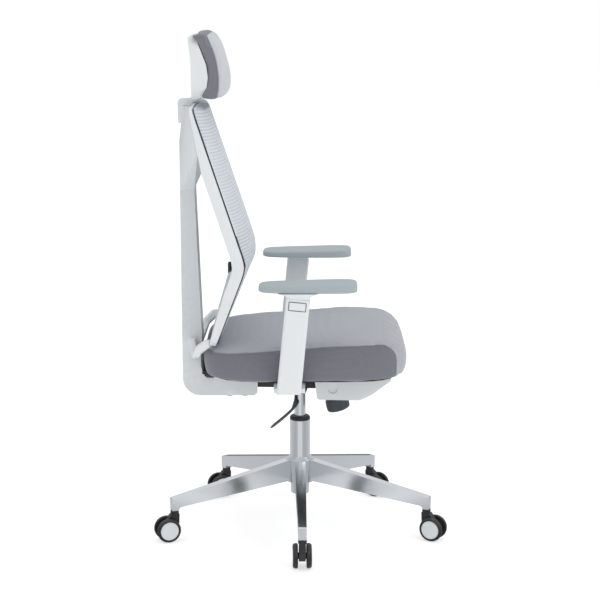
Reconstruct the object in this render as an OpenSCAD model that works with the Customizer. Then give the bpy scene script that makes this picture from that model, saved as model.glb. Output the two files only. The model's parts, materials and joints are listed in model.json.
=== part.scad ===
// Swivel office chair: five-star base on twin-wheel castors, gas column, tilt
// mechanism, upholstered seat, mesh back on a single spine, headrest and two
// height-adjustable arms.  Millimetres, +Z up, origin on the floor under the
// column.  The chair faces -Y, so the sitter's right hand is on the -X side.

/* [Base] */
// Distance from the column axis to each castor stem
leg_reach = 330; // [280:1:390]
// Radius of the hub that the legs meet
hub_r = 36; // [34:1:42]
// Height of a leg where it meets the hub
leg_root_h = 54; // [40:1:60]
// Height of a leg at its tip
leg_tip_h = 24; // [22:1:32]
// Width of a leg at the hub
leg_root_w = 28; // [26:1:36]
// Width of a leg at its tip
leg_tip_w = 20; // [19:1:24]
// Wall of the hollow cast leg
leg_wall = 4; // [3:0.5:6]
// Turn of the whole base about the column, in degrees
base_turn = 1; // [0:1:71]

/* [Castors] */
// Diameter of a castor wheel
wheel_d = 60; // [50:1:72]
// Width of one wheel
wheel_w = 12; // [10:1:16]
// Thickness of the fork body between the two wheels
fork_t = 16; // [14:1:20]
// Offset from the swivel stem back to the axle
castor_trail = 19; // [16:1:22]
// Diameter of the swivel stem
stem_d = 11; // [10:0.5:12]
// Diameter of the axle
axle_d = 6; // [5:0.5:8]

/* [Column] */
// Outer diameter of the standing tube
tube_d = 50; // [46:1:54]
// Wall of the standing tube
tube_wall = 1.6; // [1.2:0.1:2.5]
// Height of the top of the standing tube
tube_top_z = 283; // [270:1:300]
// Diameter of the gas cylinder
cylinder_d = 28; // [26:1:30]
// Travel of the gas lift
lift_stroke = 100; // [80:1:110]

/* [Mechanism] */
// Height of the underside of the mechanism pan
pan_z = 376; // [370:1:390]
// Height of the mechanism pan
pan_h = 36; // [30:1:40]
// Outside width of the mechanism pan
pan_w = 110; // [100:1:120]
// Diameter of the tilt pivots
pivot_d = 12; // [10:1:14]
// Diameter of the tension knob
knob_d = 60; // [50:1:70]
// Height of the tension knob
knob_h = 34; // [28:1:40]
// Width of the white mechanism cover
cover_w = 200; // [180:1:240]

/* [Seat] */
// Width of the seat cushion
seat_w = 480; // [400:1:580]
// Depth of the seat cushion
seat_d = 497; // [440:1:505]
// Height of the cushion's side band
band_h = 72; // [55:1:90]
// Rise of the cushion's crown above its seam
crown_h = 10; // [6:1:20]
// Thickness of the seat shell
shell_t = 8; // [6:1:12]
// Thickness of the steel seat plate
plate_t = 6; // [5:1:8]

/* [Back] */
// Width over the back frame
back_w = 440; // [380:1:500]
// Height of the top of the back frame
back_top_z = 1080; // [960:1:1200]
// Height at which the back frame bends furthest forward
bend_z = 707; // [690:1:730]
// Depth of the frame's side rails
rail_d = 28; // [22:1:34]
// Width of the frame's rails seen from the front
rail_w = 20; // [16:1:26]
// Width of the spine
spine_w = 80; // [60:1:88]
// How far the mesh bows forward of the frame above the bend
mesh_bow = 26; // [15:1:35]

/* [Headrest] */
// Width of the headrest
head_w = 284; // [240:1:330]
// Height of the headrest pad
head_h = 162; // [130:1:190]
// Travel of the headrest slider
head_travel = 50; // [30:1:60]

/* [Arms] */
// Clearance between the cushion and the arm's sleeve
arm_gap = 24; // [15:1:60]
// Width of the sleeve seen from the side
sleeve_w = 57; // [50:1:66]
// Thickness of the sleeve seen from the front
sleeve_t = 32; // [28:1:40]
// Length of the sleeve above its foot
sleeve_h = 217; // [190:1:250]
// Travel of the arm's post
arm_travel = 70; // [50:1:80]
// Length of the arm pad
arm_pad_l = 231; // [200:1:270]
// Width of the arm pad
arm_pad_w = 90; // [70:1:110]
// Thickness of the arm pad
arm_pad_t = 24; // [18:1:30]

/* [Hidden] */
$fn = 72;
fit = 0.05;            // radial running clearance of a shaft in its hole
gap = 0.4;             // clearance between parts that slide past each other
eps = 0.01;
white = "#e6eaec";
chrome = "#c9cdd1";
black = "#25282c";
slate = "#3d434b";

// Base and castors
castor_count = 5;
castor_step = 360 / castor_count;
castor_yaws = [2, 242, 245, 112, 110];   // heading of each castor's trail
wheel_r = wheel_d / 2;
neck_h = 9;
stem_l = 22;
castor_h = wheel_d + 17.5;              // underside of the leg's boss
wheel_y = fork_t / 2 + 2.5;             // inner face of a wheel
cap_r = wheel_r - 6.7;
hub_z0 = castor_h + 50;
hub_z1 = hub_z0 + leg_root_h + 4;
boss_r = leg_tip_w / 2;

// Column
tube_r = tube_d / 2;
tube_bore_r = tube_r - tube_wall;
taper = 0.025;                          // cone of the tube in the hub
tube_z0 = hub_z0 - 36;
tube_foot_r = tube_r - taper * (hub_z1 - tube_z0);
tube_floor_t = 4;
rod_r = 5;
cylinder_r = cylinder_d / 2;
pin_r = 4;
collar_h = 10;
bush_l = 80;
bush_z0 = tube_top_z - bush_l;
cylinder_top_z = pan_z + 16;
cylinder_z0 = bush_z0 - lift_stroke / 2 + 3;
rod_top_z = bush_z0 + 32;

// Mechanism
pan_top_z = pan_z + pan_h;
pan_wall = 4;
pan_front = -190;
cover_front = -232;
cover_rear = -36;
front_pivot = [-81, pan_z + 10];
back_pivot = [45, pan_z + 13];
pivot_r = pivot_d / 2;
ear_t = 5;
ear_x = pan_w / 2 + 2 + ear_t / 2;
knob_tilt = 16;
knob_at = [-99, pan_z - 68];            // middle of the knob's underside
lever_root = [-pan_w / 2 + 7, 4, pan_z + 20];
lever_pin_r = 2;
lug_in = 9;                             // lugs beside the lever, from its middle
lug_out = 14;

// Seat
plate_z = pan_top_z + 12;
shell_z = plate_z + plate_t;
cushion_z = shell_z + shell_t;
seam_z = cushion_z + band_h;
seat_rear = 236;
seat_front = seat_rear - seat_d;
seat_mid_y = (seat_front + seat_rear) / 2;
plate_half = pan_w / 2 + 40;            // half width of the steel plate
plate_y = [seat_front + 61, 150];
plate_bolt_x = pan_w / 2 + 20;
plate_bolt_in = 30;                     // from the plate's front and rear edges
strap_x = plate_half + 15;              // where the arm's strap starts
rib_x = (plate_half + strap_x) / 2;     // rib between the plate and the strap
bar_t = 10;
bar_y = [-12, 62];
bolt_r = 3;

// Back: the frame's front face, seen from the side, is a chevron
bend_y = 127;
bend_round = 14;
back_low_z = seam_z + 1;
back_top_y = 252.7;                     // depth of the frame's front at its top
back_low_y = 202.85;                    // and at its foot
slope_up = (back_top_y - bend_y) / (back_top_z - bend_z);
slope_down = (back_low_y - bend_y) / (bend_z - back_low_z);
waist_narrow = 8;                       // the frame is this much narrower at its top
foot_narrow = 15;                       // and this much at its foot
taper_z = back_low_z + 129;             // the rail thins below this height
thin_z = back_top_z - 150;              // and above this one
rail_top_d = 6;
rail_tip_d = 16;
trim_t = 3;
mesh_t = 2;
spine_z1 = back_top_z - 6;
rim_gap = 0.3;
brace_z = [for (d = [208, 148, 105]) back_top_z - d];   // heights where the head leaves the post and the rails
spine_rear = 292;
spine_half = spine_w / 2;
foot_front = 110;
back_bolt_r = 4;
foot_z = [pan_z - 22, pan_z + 23];
tongue_y = [266, 273];

// Headrest
head_pivot = [250, back_top_z + 16];
head_half = head_w / 2;
head_z0 = back_top_z + 14;
tongue_w = 44;
tongue_z = back_top_z - 120;

// Arms
arm_x = seat_w / 2 + arm_gap + sleeve_t / 2;   // middle of the sleeve
arm_lean = 5.5;
arm_foot = [25.5, shell_z];
post_w = sleeve_w - 13;
post_t = sleeve_t - 16;
pad_x = arm_x - 30;
pad_z = shell_z + sleeve_h * cos(arm_lean) + 14;
pad_y = [-134, arm_pad_l - 134];
button_at = sleeve_h - 16;

// ---- helpers -------------------------------------------------------------

function unit(v) = v / norm(v);

// Arc that rounds the corner b of a-b-c with radius r
function corner(a, b, c, r) =
    let (u = unit(a - b), v = unit(c - b), half = acos(u * v) / 2,
         mid = b + unit(u + v) * r / sin(half),
         p = b + u * r / tan(half) - mid, q = b + v * r / tan(half) - mid,
         a0 = atan2(p.y, p.x), turn = (atan2(q.y, q.x) - a0 + 540) % 360 - 180,
         n = max(2, ceil(abs(turn) / 15)))
    [for (i = [0 : n]) mid + r * [cos(a0 + turn * i / n), sin(a0 + turn * i / n)]];

// Closed outline from corners [across, up, radius]
function rounded(p) =
    [for (i = [0 : len(p) - 1])
        let (n = len(p), a = p[(i + n - 1) % n], b = p[i], c = p[(i + 1) % n])
        each b.z > 0 ? corner([a.x, a.y], [b.x, b.y], [c.x, c.y], b.z) : [[b.x, b.y]]];

// Extrude a [y, z] outline along X, w wide and centred on x0
module side_plate(outline, w, x0 = 0) {
    translate([x0 - w / 2, 0, 0]) rotate([90, 0, 90]) linear_extrude(w) polygon(outline);
}

// Extrude an [x, z] outline along Y from y0 to y1
module front_plate(outline, y0, y1) {
    translate([0, y1, 0]) rotate([90, 0, 0]) linear_extrude(y1 - y0) polygon(outline);
}

// Cylinder along X, centred on x0
module x_rod(r, l, at, x0 = 0) {
    translate([x0 - l / 2, at.x, at.y]) rotate([0, 90, 0]) cylinder(r = r, h = l);
}

// Rounded-square outline, half widths a and b
function squircle(a, b, n = 5, count = 64) =
    [for (i = [0 : count - 1])
        let (t = 360 * (i + 0.5) / count, c = cos(t), s = sin(t),
             k = pow(pow(abs(c), n) + pow(abs(s), n), -1 / n))
        [a * c * k, b * s * k]];

// Closed curved sheet: front and back are grids of points of equal size
module sheet(front, back) {
    rows = len(front);
    cols = len(front[0]);
    count = rows * cols;
    points = concat([for (r = front) each r], [for (r = back) each r]);
    function at(i, j, side) = side * count + i * cols + j;
    faces = concat(
        [for (i = [0 : rows - 2]) for (j = [0 : cols - 2])
            [at(i, j, 0), at(i, j + 1, 0), at(i + 1, j + 1, 0), at(i + 1, j, 0)]],
        [for (i = [0 : rows - 2]) for (j = [0 : cols - 2])
            [at(i, j, 1), at(i + 1, j, 1), at(i + 1, j + 1, 1), at(i, j + 1, 1)]],
        [for (i = [0 : rows - 2]) for (e = [[0, 0], [cols - 1, 1]])
            e.y == 0 ? [at(i, e.x, 0), at(i + 1, e.x, 0), at(i + 1, e.x, 1), at(i, e.x, 1)]
                     : [at(i, e.x, 0), at(i, e.x, 1), at(i + 1, e.x, 1), at(i + 1, e.x, 0)]],
        [for (j = [0 : cols - 2]) for (e = [[0, 0], [rows - 1, 1]])
            e.y == 0 ? [at(e.x, j, 0), at(e.x, j, 1), at(e.x, j + 1, 1), at(e.x, j + 1, 0)]
                     : [at(e.x, j, 0), at(e.x, j + 1, 0), at(e.x, j + 1, 1), at(e.x, j, 1)]]);
    polyhedron(points, faces, convexity = 6);
}

// ---- base ----------------------------------------------------------------

module leg() {
    tip_z = castor_h + 8 + leg_tip_h;
    root_z = hub_z0 + leg_root_h;
    profile = rounded([
        [hub_r - 8, hub_z0, 0], [leg_reach - 10, tip_z - leg_tip_h, 8],
        [leg_reach - 8.5, castor_h, 0], [leg_reach + 8.5, castor_h, 0],
        [leg_reach + 9, tip_z - 1, 4], [hub_r - 8, root_z, 0]]);
    plan = [[0, -leg_root_w / 2], [leg_reach + boss_r, -leg_tip_w / 2],
            [leg_reach + boss_r, leg_tip_w / 2], [0, leg_root_w / 2]];
    hollow = [[hub_r + 6, 0], [leg_reach - 22, 0], [leg_reach - 22, tip_z - leg_wall - 1],
              [hub_r + 6, root_z - 12]];
    difference() {
        intersection() {
            rotate([90, 0, 0]) translate([0, 0, -40]) linear_extrude(80) polygon(profile);
            linear_extrude(hub_z1) polygon(plan);
        }
        intersection() {
            rotate([90, 0, 0]) translate([0, 0, -40]) linear_extrude(80) polygon(hollow);
            translate([hub_r, 0, -eps]) linear_extrude(hub_z1)
                polygon([for (p = plan) [p.x, p.y - sign(p.y) * leg_wall]]);
        }
        translate([leg_reach, 0, castor_h - eps])
            cylinder(r = stem_d / 2 + fit, h = stem_l + 2);
    }
}

module star_base() {
    color(chrome) difference() {
        union() {
            translate([0, 0, hub_z0 - 4]) cylinder(r = hub_r, h = hub_z1 - hub_z0);
            translate([0, 0, hub_z1 - 6]) cylinder(r = hub_r - 5, h = 6);
            for (i = [0 : castor_count - 1])
                rotate([0, 0, 180 + base_turn + castor_step * i]) leg();
        }
        translate([0, 0, tube_z0])
            cylinder(r1 = tube_foot_r, r2 = tube_r, h = hub_z1 - tube_z0);
    }
}

module column_tube() {
    color(chrome) difference() {
        union() {
            translate([0, 0, hub_z1]) cylinder(r = tube_r, h = tube_top_z - hub_z1);
            translate([0, 0, tube_z0])
                cylinder(r1 = tube_foot_r, r2 = tube_r, h = hub_z1 - tube_z0);
        }
        translate([0, 0, tube_z0 + tube_floor_t])
            cylinder(r = tube_foot_r - tube_wall, h = tube_top_z);
        translate([0, 0, hub_z1]) cylinder(r = tube_bore_r, h = tube_top_z);
        translate([0, 0, tube_z0 - eps]) cylinder(r = rod_r + fit, h = 10);
    }
}

module column_bush() {
    color(black) translate([0, 0, bush_z0]) difference() {
        cylinder(r = tube_bore_r, h = bush_l);
        translate([0, 0, -eps]) cylinder(r = cylinder_r + fit, h = bush_l + 1);
    }
}

module column_collar() {
    color(black) translate([0, 0, tube_top_z]) rotate_extrude() polygon([
        [cylinder_r + 0.3, 0], [tube_r + 0.5, 0], [tube_r + 0.5, collar_h - 4],
        [tube_r - 3, collar_h], [cylinder_r + 0.3, collar_h]]);
}

module thrust_bearing() {
    color(chrome) translate([0, 0, tube_z0 + tube_floor_t]) difference() {
        cylinder(r = tube_foot_r - tube_wall - 1, h = 7);
        translate([0, 0, -eps]) cylinder(r = rod_r + fit, h = 8);
    }
}

// Rod with its piston head, and the clip that holds it under the tube's floor
module piston_rod() {
    color(chrome) {
        translate([0, 0, tube_z0 - 3]) cylinder(r = rod_r, h = rod_top_z - tube_z0 + 3);
        translate([0, 0, rod_top_z - 12]) cylinder(r = cylinder_r - 2, h = 12);
        translate([0, 0, tube_z0 - 3]) cylinder(r = rod_r + 3, h = 2.7);
        translate([0, 0, tube_z0 + tube_floor_t + 7.3]) cylinder(r = rod_r + 4, h = 2.5);
    }
}

// ---- lift and mechanism --------------------------------------------------

module gas_cylinder() {
    color(chrome) translate([0, 0, cylinder_z0]) difference() {
        cylinder(r = cylinder_r, h = cylinder_top_z - cylinder_z0);
        translate([0, 0, 6]) cylinder(r = cylinder_r - 1.5, h = tube_top_z - cylinder_z0 + 58);
        translate([0, 0, -eps]) cylinder(r = rod_r + fit, h = 10);
        translate([0, 0, cylinder_top_z - cylinder_z0 - 13]) cylinder(r = pin_r + fit, h = 14);
    }
}

// Pin that the lever pushes down to free the gas lift
module gas_release_pin() {
    color(slate) translate([0, 0, cylinder_top_z - 7]) cylinder(r = pin_r, h = 12);
}

module mechanism_pan() {
    outside = rounded([
        [pan_front, pan_top_z, 3], [pan_front, pan_z + 14, 8], [pan_front + 30, pan_z, 20],
        [62, pan_z, 10],
        [66, pan_z + 22, 4], [-50, pan_top_z, 10]]);
    inside = rounded([
        [pan_front + pan_wall, pan_top_z + 5, 0], [pan_front + pan_wall, pan_z + 16, 6],
        [pan_front + 32, pan_z + pan_wall, 18], [58, pan_z + pan_wall, 6],
        [62, pan_top_z + 5, 0]]);
    color(black) difference() {
        union() {
            difference() {
                side_plate(outside, pan_w);
                side_plate(inside, pan_w - 2 * pan_wall);
            }
            translate([0, 0, pan_z - 24]) cylinder(r1 = cylinder_r + 1.5, r2 = 24, h = 24.5);
            translate([0, 0, pan_z]) cylinder(r = 24, h = cylinder_top_z - 1 - pan_z);
            // lugs that hold the lever's pin
            for (y = [-lug_out, lug_in]) translate([-pan_w / 2 + 1, lever_root.y + y, pan_z + 1])
                cube([11, lug_out - lug_in, lever_root.z + 6 - pan_z]);
        }
        translate([0, 0, pan_z - 30]) cylinder(r = cylinder_r, h = pan_h + 30);
        for (p = [front_pivot, back_pivot]) x_rod(pivot_r, pan_w + 2, p);
        // slot that the lever swings in
        translate([-pan_w / 2 - 1, lever_root.y - lug_in, lever_root.z - 17])
            cube([8, 2 * lug_in, 30]);
        y_pin(lever_pin_r, 2 * lug_out + 2);
        knob_frame() translate([0, 0, -knob_h]) cylinder(r = 6, h = 150);
    }
}

module tilt_pivots() {
    color(chrome) for (p = [front_pivot, back_pivot]) for (s = [-1, 1])
        x_rod(pivot_r, 17, p, s * (pan_w / 2 + 1.5));
}

// Frame of the tension knob: its axis leans back as it rises
module knob_frame() {
    translate([0, knob_at.x, knob_at.y]) rotate([-knob_tilt, 0, 0]) children();
}

module tilt_spring() {
    color(slate) knob_frame() translate([0, 0, 83]) {
        for (i = [0 : 3]) translate([0, 0, i * 5.5])
            rotate_extrude() translate([10.5, 0]) circle(r = 2, $fn = 20);
        difference() {
            cylinder(r = 9.5, h = 16.5);
            translate([0, 0, -eps]) cylinder(r = 6.2, h = 20);
        }
    }
}

module front_cover() {
    low = pan_z - 18;
    half = cover_w / 2;
    outside = rounded([
        [cover_rear, pan_top_z - 2, 3], [cover_rear - 6, low, 8], [cover_front + 85, low - 2, 22],
        [cover_front + 54, low + 13, 20], [cover_front, pan_top_z, 4]]);
    inside = [[cover_rear - 4, pan_top_z + 5], [cover_rear - 9.5, low + 3.5],
              [cover_front + 86, low + 1.5], [cover_front + 56, low + 17],
              [cover_front + 4, pan_top_z], [cover_front + 4, pan_top_z + 5]];
    color(white) difference() {
        union() {
            difference() {
                side_plate(outside, cover_w);
                side_plate(inside, cover_w - 7);
            }
            // bosses that hold the cover under the pan
            for (x = [-40, 40]) for (y = [-60, -140]) translate([x, y, low])
                cylinder(r = 5, h = pan_z - low);
        }
        knob_frame() translate([0, 0, -knob_h]) cylinder(r = 9, h = 150);
        for (s = [-1, 1]) x_rod(12, 4, front_pivot, s * half);
        // the pan passes through the cover's rear wall
        translate([-pan_w / 2 - gap, cover_rear - 19, pan_z - gap])
            cube([pan_w + 2 * gap, 30, pan_h + 10]);
    }
}

module tension_knob() {
    r = knob_d / 2;
    color(slate) knob_frame() {
        rotate_extrude() polygon(rounded([
            [0, 0, 0], [r - 5, 0, 5], [r, knob_h - 8, 3], [r - 8, knob_h, 2], [0, knob_h, 0]]));
        translate([0, 0, knob_h - 1]) cylinder(r = 5, h = 100 - knob_h);
    }
}

// Cylinder along Y through the lever's pivot
module y_pin(r, l) {
    translate([lever_root.x, lever_root.y + l / 2, lever_root.z]) rotate([90, 0, 0])
        cylinder(r = r, h = l);
}

module lever_pin() {
    color(chrome) y_pin(lever_pin_r, 2 * lug_out);
}

// Lever: inner finger over the release pin, bent rod, flat paddle
module height_lever() {
    r = lever_root;
    color(slate) difference() {
        lever_body(r);
        y_pin(lever_pin_r + fit, 2 * lug_out);
    }
}

module lever_body(r) {
    union() {
        hull() {
            translate([-4, r.y - 4, r.z + 5]) sphere(r = 3.4, $fn = 20);
            translate([r.x - 1, r.y, r.z]) sphere(r = 5.5, $fn = 20);
        }
        hull() {
            translate([r.x - 1, r.y, r.z]) sphere(r = 5.5, $fn = 20);
            translate([r.x - 34, r.y + 6, r.z - 34]) sphere(r = 5, $fn = 20);
        }
        hull() {
            translate([r.x - 34, r.y + 6, r.z - 34]) sphere(r = 5, $fn = 20);
            translate([r.x - 62, r.y - 8, r.z - 38]) sphere(r = 4, $fn = 20);
            translate([r.x - 74, r.y + 22, r.z - 64]) sphere(r = 4, $fn = 20);
        }
        hull() {
            translate([r.x - 62, r.y - 8, r.z - 38]) sphere(r = 4, $fn = 20);
            translate([r.x - 74, r.y + 22, r.z - 64]) sphere(r = 4, $fn = 20);
            translate([r.x - 190, r.y + 66, r.z - 68]) sphere(r = 4, $fn = 20);
            translate([r.x - 190, r.y + 70, r.z - 76]) sphere(r = 4, $fn = 20);
        }
    }
}

// ---- seat ----------------------------------------------------------------

module at_seat_middle(z) {
    translate([0, seat_mid_y, z]) children();
}

module seat_plate() {
    ear = rounded([[front_pivot.x - 12, front_pivot.y - 12, 10],
                   [front_pivot.x + 12, front_pivot.y - 12, 10],
                   [front_pivot.x + 26, plate_z + 1, 0], [front_pivot.x - 26, plate_z + 1, 0]]);
    color(black) difference() {
        union() {
            translate([-plate_half, plate_y[0], plate_z])
                cube([2 * plate_half, plate_y[1] - plate_y[0], plate_t]);
            for (s = [-1, 1]) side_plate(ear, ear_t, s * ear_x);
        }
        x_rod(pivot_r + fit, pan_w + 40, front_pivot);
        for (p = plate_bolts()) translate([p.x, p.y, plate_z - 1]) cylinder(r = bolt_r, h = 20);
    }
}

function plate_bolts() = [for (s = [-1, 1])
    for (y = [plate_y[0] + plate_bolt_in, plate_y[1] - plate_bolt_in]) [s * plate_bolt_x, y]];
function arm_bolts() = let (x0 = strap_x + 25, x1 = seat_w / 2 - 45) [for (s = [-1, 1])
    for (i = [0 : 2]) [s * (x0 + (x1 - x0) * i / 2), (bar_y[0] + bar_y[1]) / 2]];

module seat_shell() {
    lip_h = 34;
    color(black) difference() {
        union() {
            at_seat_middle(shell_z) linear_extrude(shell_t)
                polygon(squircle(seat_w / 2 - 28, seat_d / 2 - 22));
            for (s = [-1, 1]) translate([s * rib_x - 5, seat_front + 86, shell_z - 11])
                cube([10, seat_d - 167, 12]);
            // lip that turns up behind the cushion
            intersection() {
                at_seat_middle(shell_z) linear_extrude(lip_h)
                    polygon(squircle(seat_w / 2 + 4, seat_d / 2 + 4.5));
                translate([-130, seat_mid_y + seat_d / 2 - 30, shell_z]) cube([260, 60, lip_h]);
            }
        }
        at_seat_middle(cushion_z) linear_extrude(band_h)
            polygon(squircle(seat_w / 2 + 0.5, seat_d / 2 + 0.5));
        for (p = concat(plate_bolts(), arm_bolts()))
            translate([p.x, p.y, shell_z - 1]) cylinder(r = bolt_r, h = shell_t - 1);
    }
}

// The cushion is higher in front than behind, with a rounded waterfall edge
module seat_cushion() {
    profile = rounded([
        [seat_rear, cushion_z, 14], [seat_rear, seam_z - 14, 12],
        [seat_rear - 60, seam_z - 8 + crown_h / 2, 60],
        [seat_front + 90, seam_z + 10 + crown_h / 2, 60], [seat_front + 24, seam_z + 6, 30],
        [seat_front, seam_z - 26, 20], [seat_front, cushion_z, 12]]);
    color("#8c8d95") intersection() {
        side_plate(profile, seat_w + 20);
        at_seat_middle(cushion_z - 1) linear_extrude(200)
            polygon(squircle(seat_w / 2, seat_d / 2));
    }
}

module bolt_up(p, z, grip) {
    translate([p.x, p.y, z - 4]) cylinder(r = 6, h = 4);
    translate([p.x, p.y, z - 1]) cylinder(r = bolt_r, h = grip + 1);
}

module under_seat_bolts() {
    color(chrome) {
        for (p = plate_bolts()) bolt_up(p, plate_z, plate_t + shell_t - 2);
        for (p = arm_bolts()) bolt_up(p, shell_z - bar_t, bar_t + shell_t - 2);
    }
}

// ---- arms ----------------------------------------------------------------
// Each arm is drawn on the +X side and mirrored for the other

module arm_side(s) {
    if (s > 0) children();
    else mirror([1, 0, 0]) children();
}

// Frame of the sleeve: up the leaning arm, origin at its foot
module arm_frame() {
    translate([arm_x, arm_foot.x, arm_foot.y]) rotate([arm_lean, 0, 0]) children();
}

module box(w, d, h, r = 0) {
    linear_extrude(h) polygon(rounded([
        [-w / 2, -d / 2, r], [w / 2, -d / 2, r], [w / 2, d / 2, r], [-w / 2, d / 2, r]]));
}

module arm_sleeve() {
    color(white) difference() {
        union() {
            intersection() {
                arm_frame() translate([0, 0, -14]) box(sleeve_t, sleeve_w, sleeve_h + 14, 7);
                translate([0, -100, shell_z - bar_t]) cube([500, 300, 400]);
            }
            translate([strap_x, bar_y[0], shell_z - bar_t])
                cube([arm_x - strap_x, bar_y[1] - bar_y[0], bar_t]);
        }
        arm_frame() translate([0, 0, 30])
            box(post_t + 2 * gap, post_w + 2 * gap, sleeve_h, 3);
        arm_frame() translate([sleeve_t / 2 - 8, -19 - gap, button_at - 9 - gap])
            cube([20, 38 + 2 * gap, 18 + 2 * gap]);
        for (p = arm_bolts()) translate([abs(p.x), p.y, shell_z - bar_t - 1])
            cylinder(r = bolt_r, h = bar_t + 2);
    }
}

module arm_button() {
    inside = post_t / 2 + 3;
    color(white) arm_frame() translate([inside, -19, button_at - 9])
        cube([sleeve_t / 2 + 0.6 - inside, 38, 18]);
}

// Point of the sleeve's top plane, across the lean by y and lifted by h
function sleeve_top(y, h = 0) = arm_foot
    + [y * cos(arm_lean) - (sleeve_h + h) * sin(arm_lean),
       y * sin(arm_lean) + (sleeve_h + h) * cos(arm_lean)];

// Post that slides in the sleeve, its flared head and the plate under the pad
module arm_post() {
    front = sleeve_top(-sleeve_w / 2, gap);
    rear = sleeve_top(sleeve_w / 2, gap);
    head = rounded([
        [front.x, front.y, 0], [rear.x, rear.y, 0], [rear.x + 2, rear.y + 4, 8],
        [rear.x + 19, pad_z - 3, 0], [rear.x + 19, pad_z, 0],
        [front.x - 22, pad_z, 0], [front.x - 22, pad_z - 3, 0], [front.x - 3, front.y + 4, 8]]);
    color(white) {
        arm_frame() translate([0, 0, 40]) box(post_t, post_w, sleeve_h - 40 + 8, 2);
        side_plate(head, sleeve_t - 2, arm_x - 1);
        translate([pad_x - 28, pad_y[0] + 74, pad_z - 5])
            cube([arm_x - pad_x + 40, arm_pad_l - 111, 5]);
    }
}

module arm_pad() {
    side = rounded([
        [pad_y[1], pad_z - 2, 5], [pad_y[1], pad_z + arm_pad_t - 8, 8],
        [pad_y[0], pad_z + arm_pad_t, 9], [pad_y[0], pad_z, 9]]);
    color("#a5b0b6") difference() {
        intersection() {
            side_plate(side, arm_pad_w, pad_x);
            translate([pad_x, (pad_y[0] + pad_y[1]) / 2, pad_z - 5])
                linear_extrude(60) polygon(squircle(arm_pad_w / 2, arm_pad_l / 2 + 3, 4, 48));
        }
        translate([0, -200, pad_z - 60]) cube([500, 400, 60]);
    }
}

module right_arm_sleeve() { arm_side(-1) arm_sleeve(); }
module left_arm_sleeve() { arm_side(1) arm_sleeve(); }
module right_arm_post() { arm_side(-1) arm_post(); }
module left_arm_post() { arm_side(1) arm_post(); }
module right_arm_button() { arm_side(-1) arm_button(); }
module left_arm_button() { arm_side(1) arm_button(); }
module right_arm_pad() { arm_side(-1) arm_pad(); }
module left_arm_pad() { arm_side(1) arm_pad(); }

// ---- back ----------------------------------------------------------------

// Front face of the frame seen from the side: a hyperbola rounds the bend
function front_y(z) =
    let (d = z - bend_z)
    bend_y + (slope_up - slope_down) / 2 * d
    + (slope_up + slope_down) / 2 * sqrt(d * d + bend_round * bend_round);

// Lean of that face: its depth gained per unit of height
function front_lean(z) =
    let (d = z - bend_z)
    (slope_up - slope_down) / 2
    + (slope_up + slope_down) / 2 * d / sqrt(d * d + bend_round * bend_round);

// Depth of the rail at a height: thin at its top and at its foot
function rail_depth(z) =
    z > thin_z ? rail_d - (rail_d - rail_top_d) * (z - thin_z) / (back_top_z - thin_z)
    : z < taper_z ? rail_tip_d + (rail_d - rail_tip_d) * (z - back_low_z) / (taper_z - back_low_z)
    : rail_d;

function rail_back(z) = front_y(z) + rail_depth(z);

// Half width of the frame at a height, outside
function half_w(z) = back_w / 2 - (z > bend_z
    ? waist_narrow * (z - bend_z) / (back_top_z - bend_z)
    : foot_narrow * (bend_z - z) / (bend_z - back_low_z));

// Heights that the frame's side outline is drawn through; the last is above the bend
// and below where the rail starts to thin
bend_end = 27 + min(33, (thin_z - bend_z - 27) / 2);
bend_zs = [for (d = [-27, -14, 0, 14, 27, bend_end]) bend_z + d];
frame_zs = concat([back_low_z, (back_low_z + taper_z) / 2, taper_z], bend_zs,
    [thin_z, back_top_z]);

// Side outline of a strip that starts y_in before the front face
function side_band(y_in, y_out) = concat(
    [for (z = frame_zs) [front_y(z) + y_in, z]],
    [for (i = [len(frame_zs) - 1 : -1 : 0]) [y_out > 0 ? rail_back(frame_zs[i])
        : front_y(frame_zs[i]), frame_zs[i]]]);

// Outline of the frame seen from the front, drawn in by inset
function ring(inset) =
    let (right = [[half_w(back_low_z) - inset, back_low_z + inset, max(6, 34 - inset)],
                  [half_w(bend_z) - inset, bend_z, 120],
                  [half_w(back_top_z) - inset, back_top_z - inset, max(6, 28 - inset)]])
    rounded(concat(right, [for (i = [2 : -1 : 0]) [-right[i].x, right[i].y, right[i].z]]));

module frame_ring(outer, inner) {
    difference() {
        front_plate(ring(outer), 60, 400);
        front_plate(ring(inner), 50, 410);
    }
}

// Centre line of the arm that runs from a lower corner of the frame to the spine
yoke_path = [[half_w(back_low_z) - 20, rail_back(back_low_z) + 2, back_low_z + 8],
    [half_w(back_low_z) - 37, 243, back_low_z - 11], [half_w(back_low_z) - 65, 249, back_low_z - 27],
    [100, 255, back_low_z - 40], [spine_half + 24, 259, back_low_z - 45],
    [spine_half + 4, 266, back_low_z - 18]];

module yoke_joint(p) {
    translate(p) rotate([90, 0, 20]) cylinder(r = 9, h = 13, center = true, $fn = 20);
}

module back_frame() {
    color(white) {
        intersection() {
            side_plate(side_band(0, 1), back_w + 20);
            frame_ring(0, rail_w);
        }
        difference() {
            for (i = [0 : len(yoke_path) - 2]) for (side = [0, 1]) mirror([side, 0, 0]) hull() {
                yoke_joint(yoke_path[i]);
                yoke_joint(yoke_path[i + 1]);
            }
            translate([-spine_half, 200, back_low_z - 70]) cube([spine_w, 120, 110]);
        }
    }
}

module mesh_trim() {
    color(slate) intersection() {
        side_plate(side_band(-trim_t, 0), back_w + 20);
        frame_ring(4, rail_w - 4);
    }
}

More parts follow.
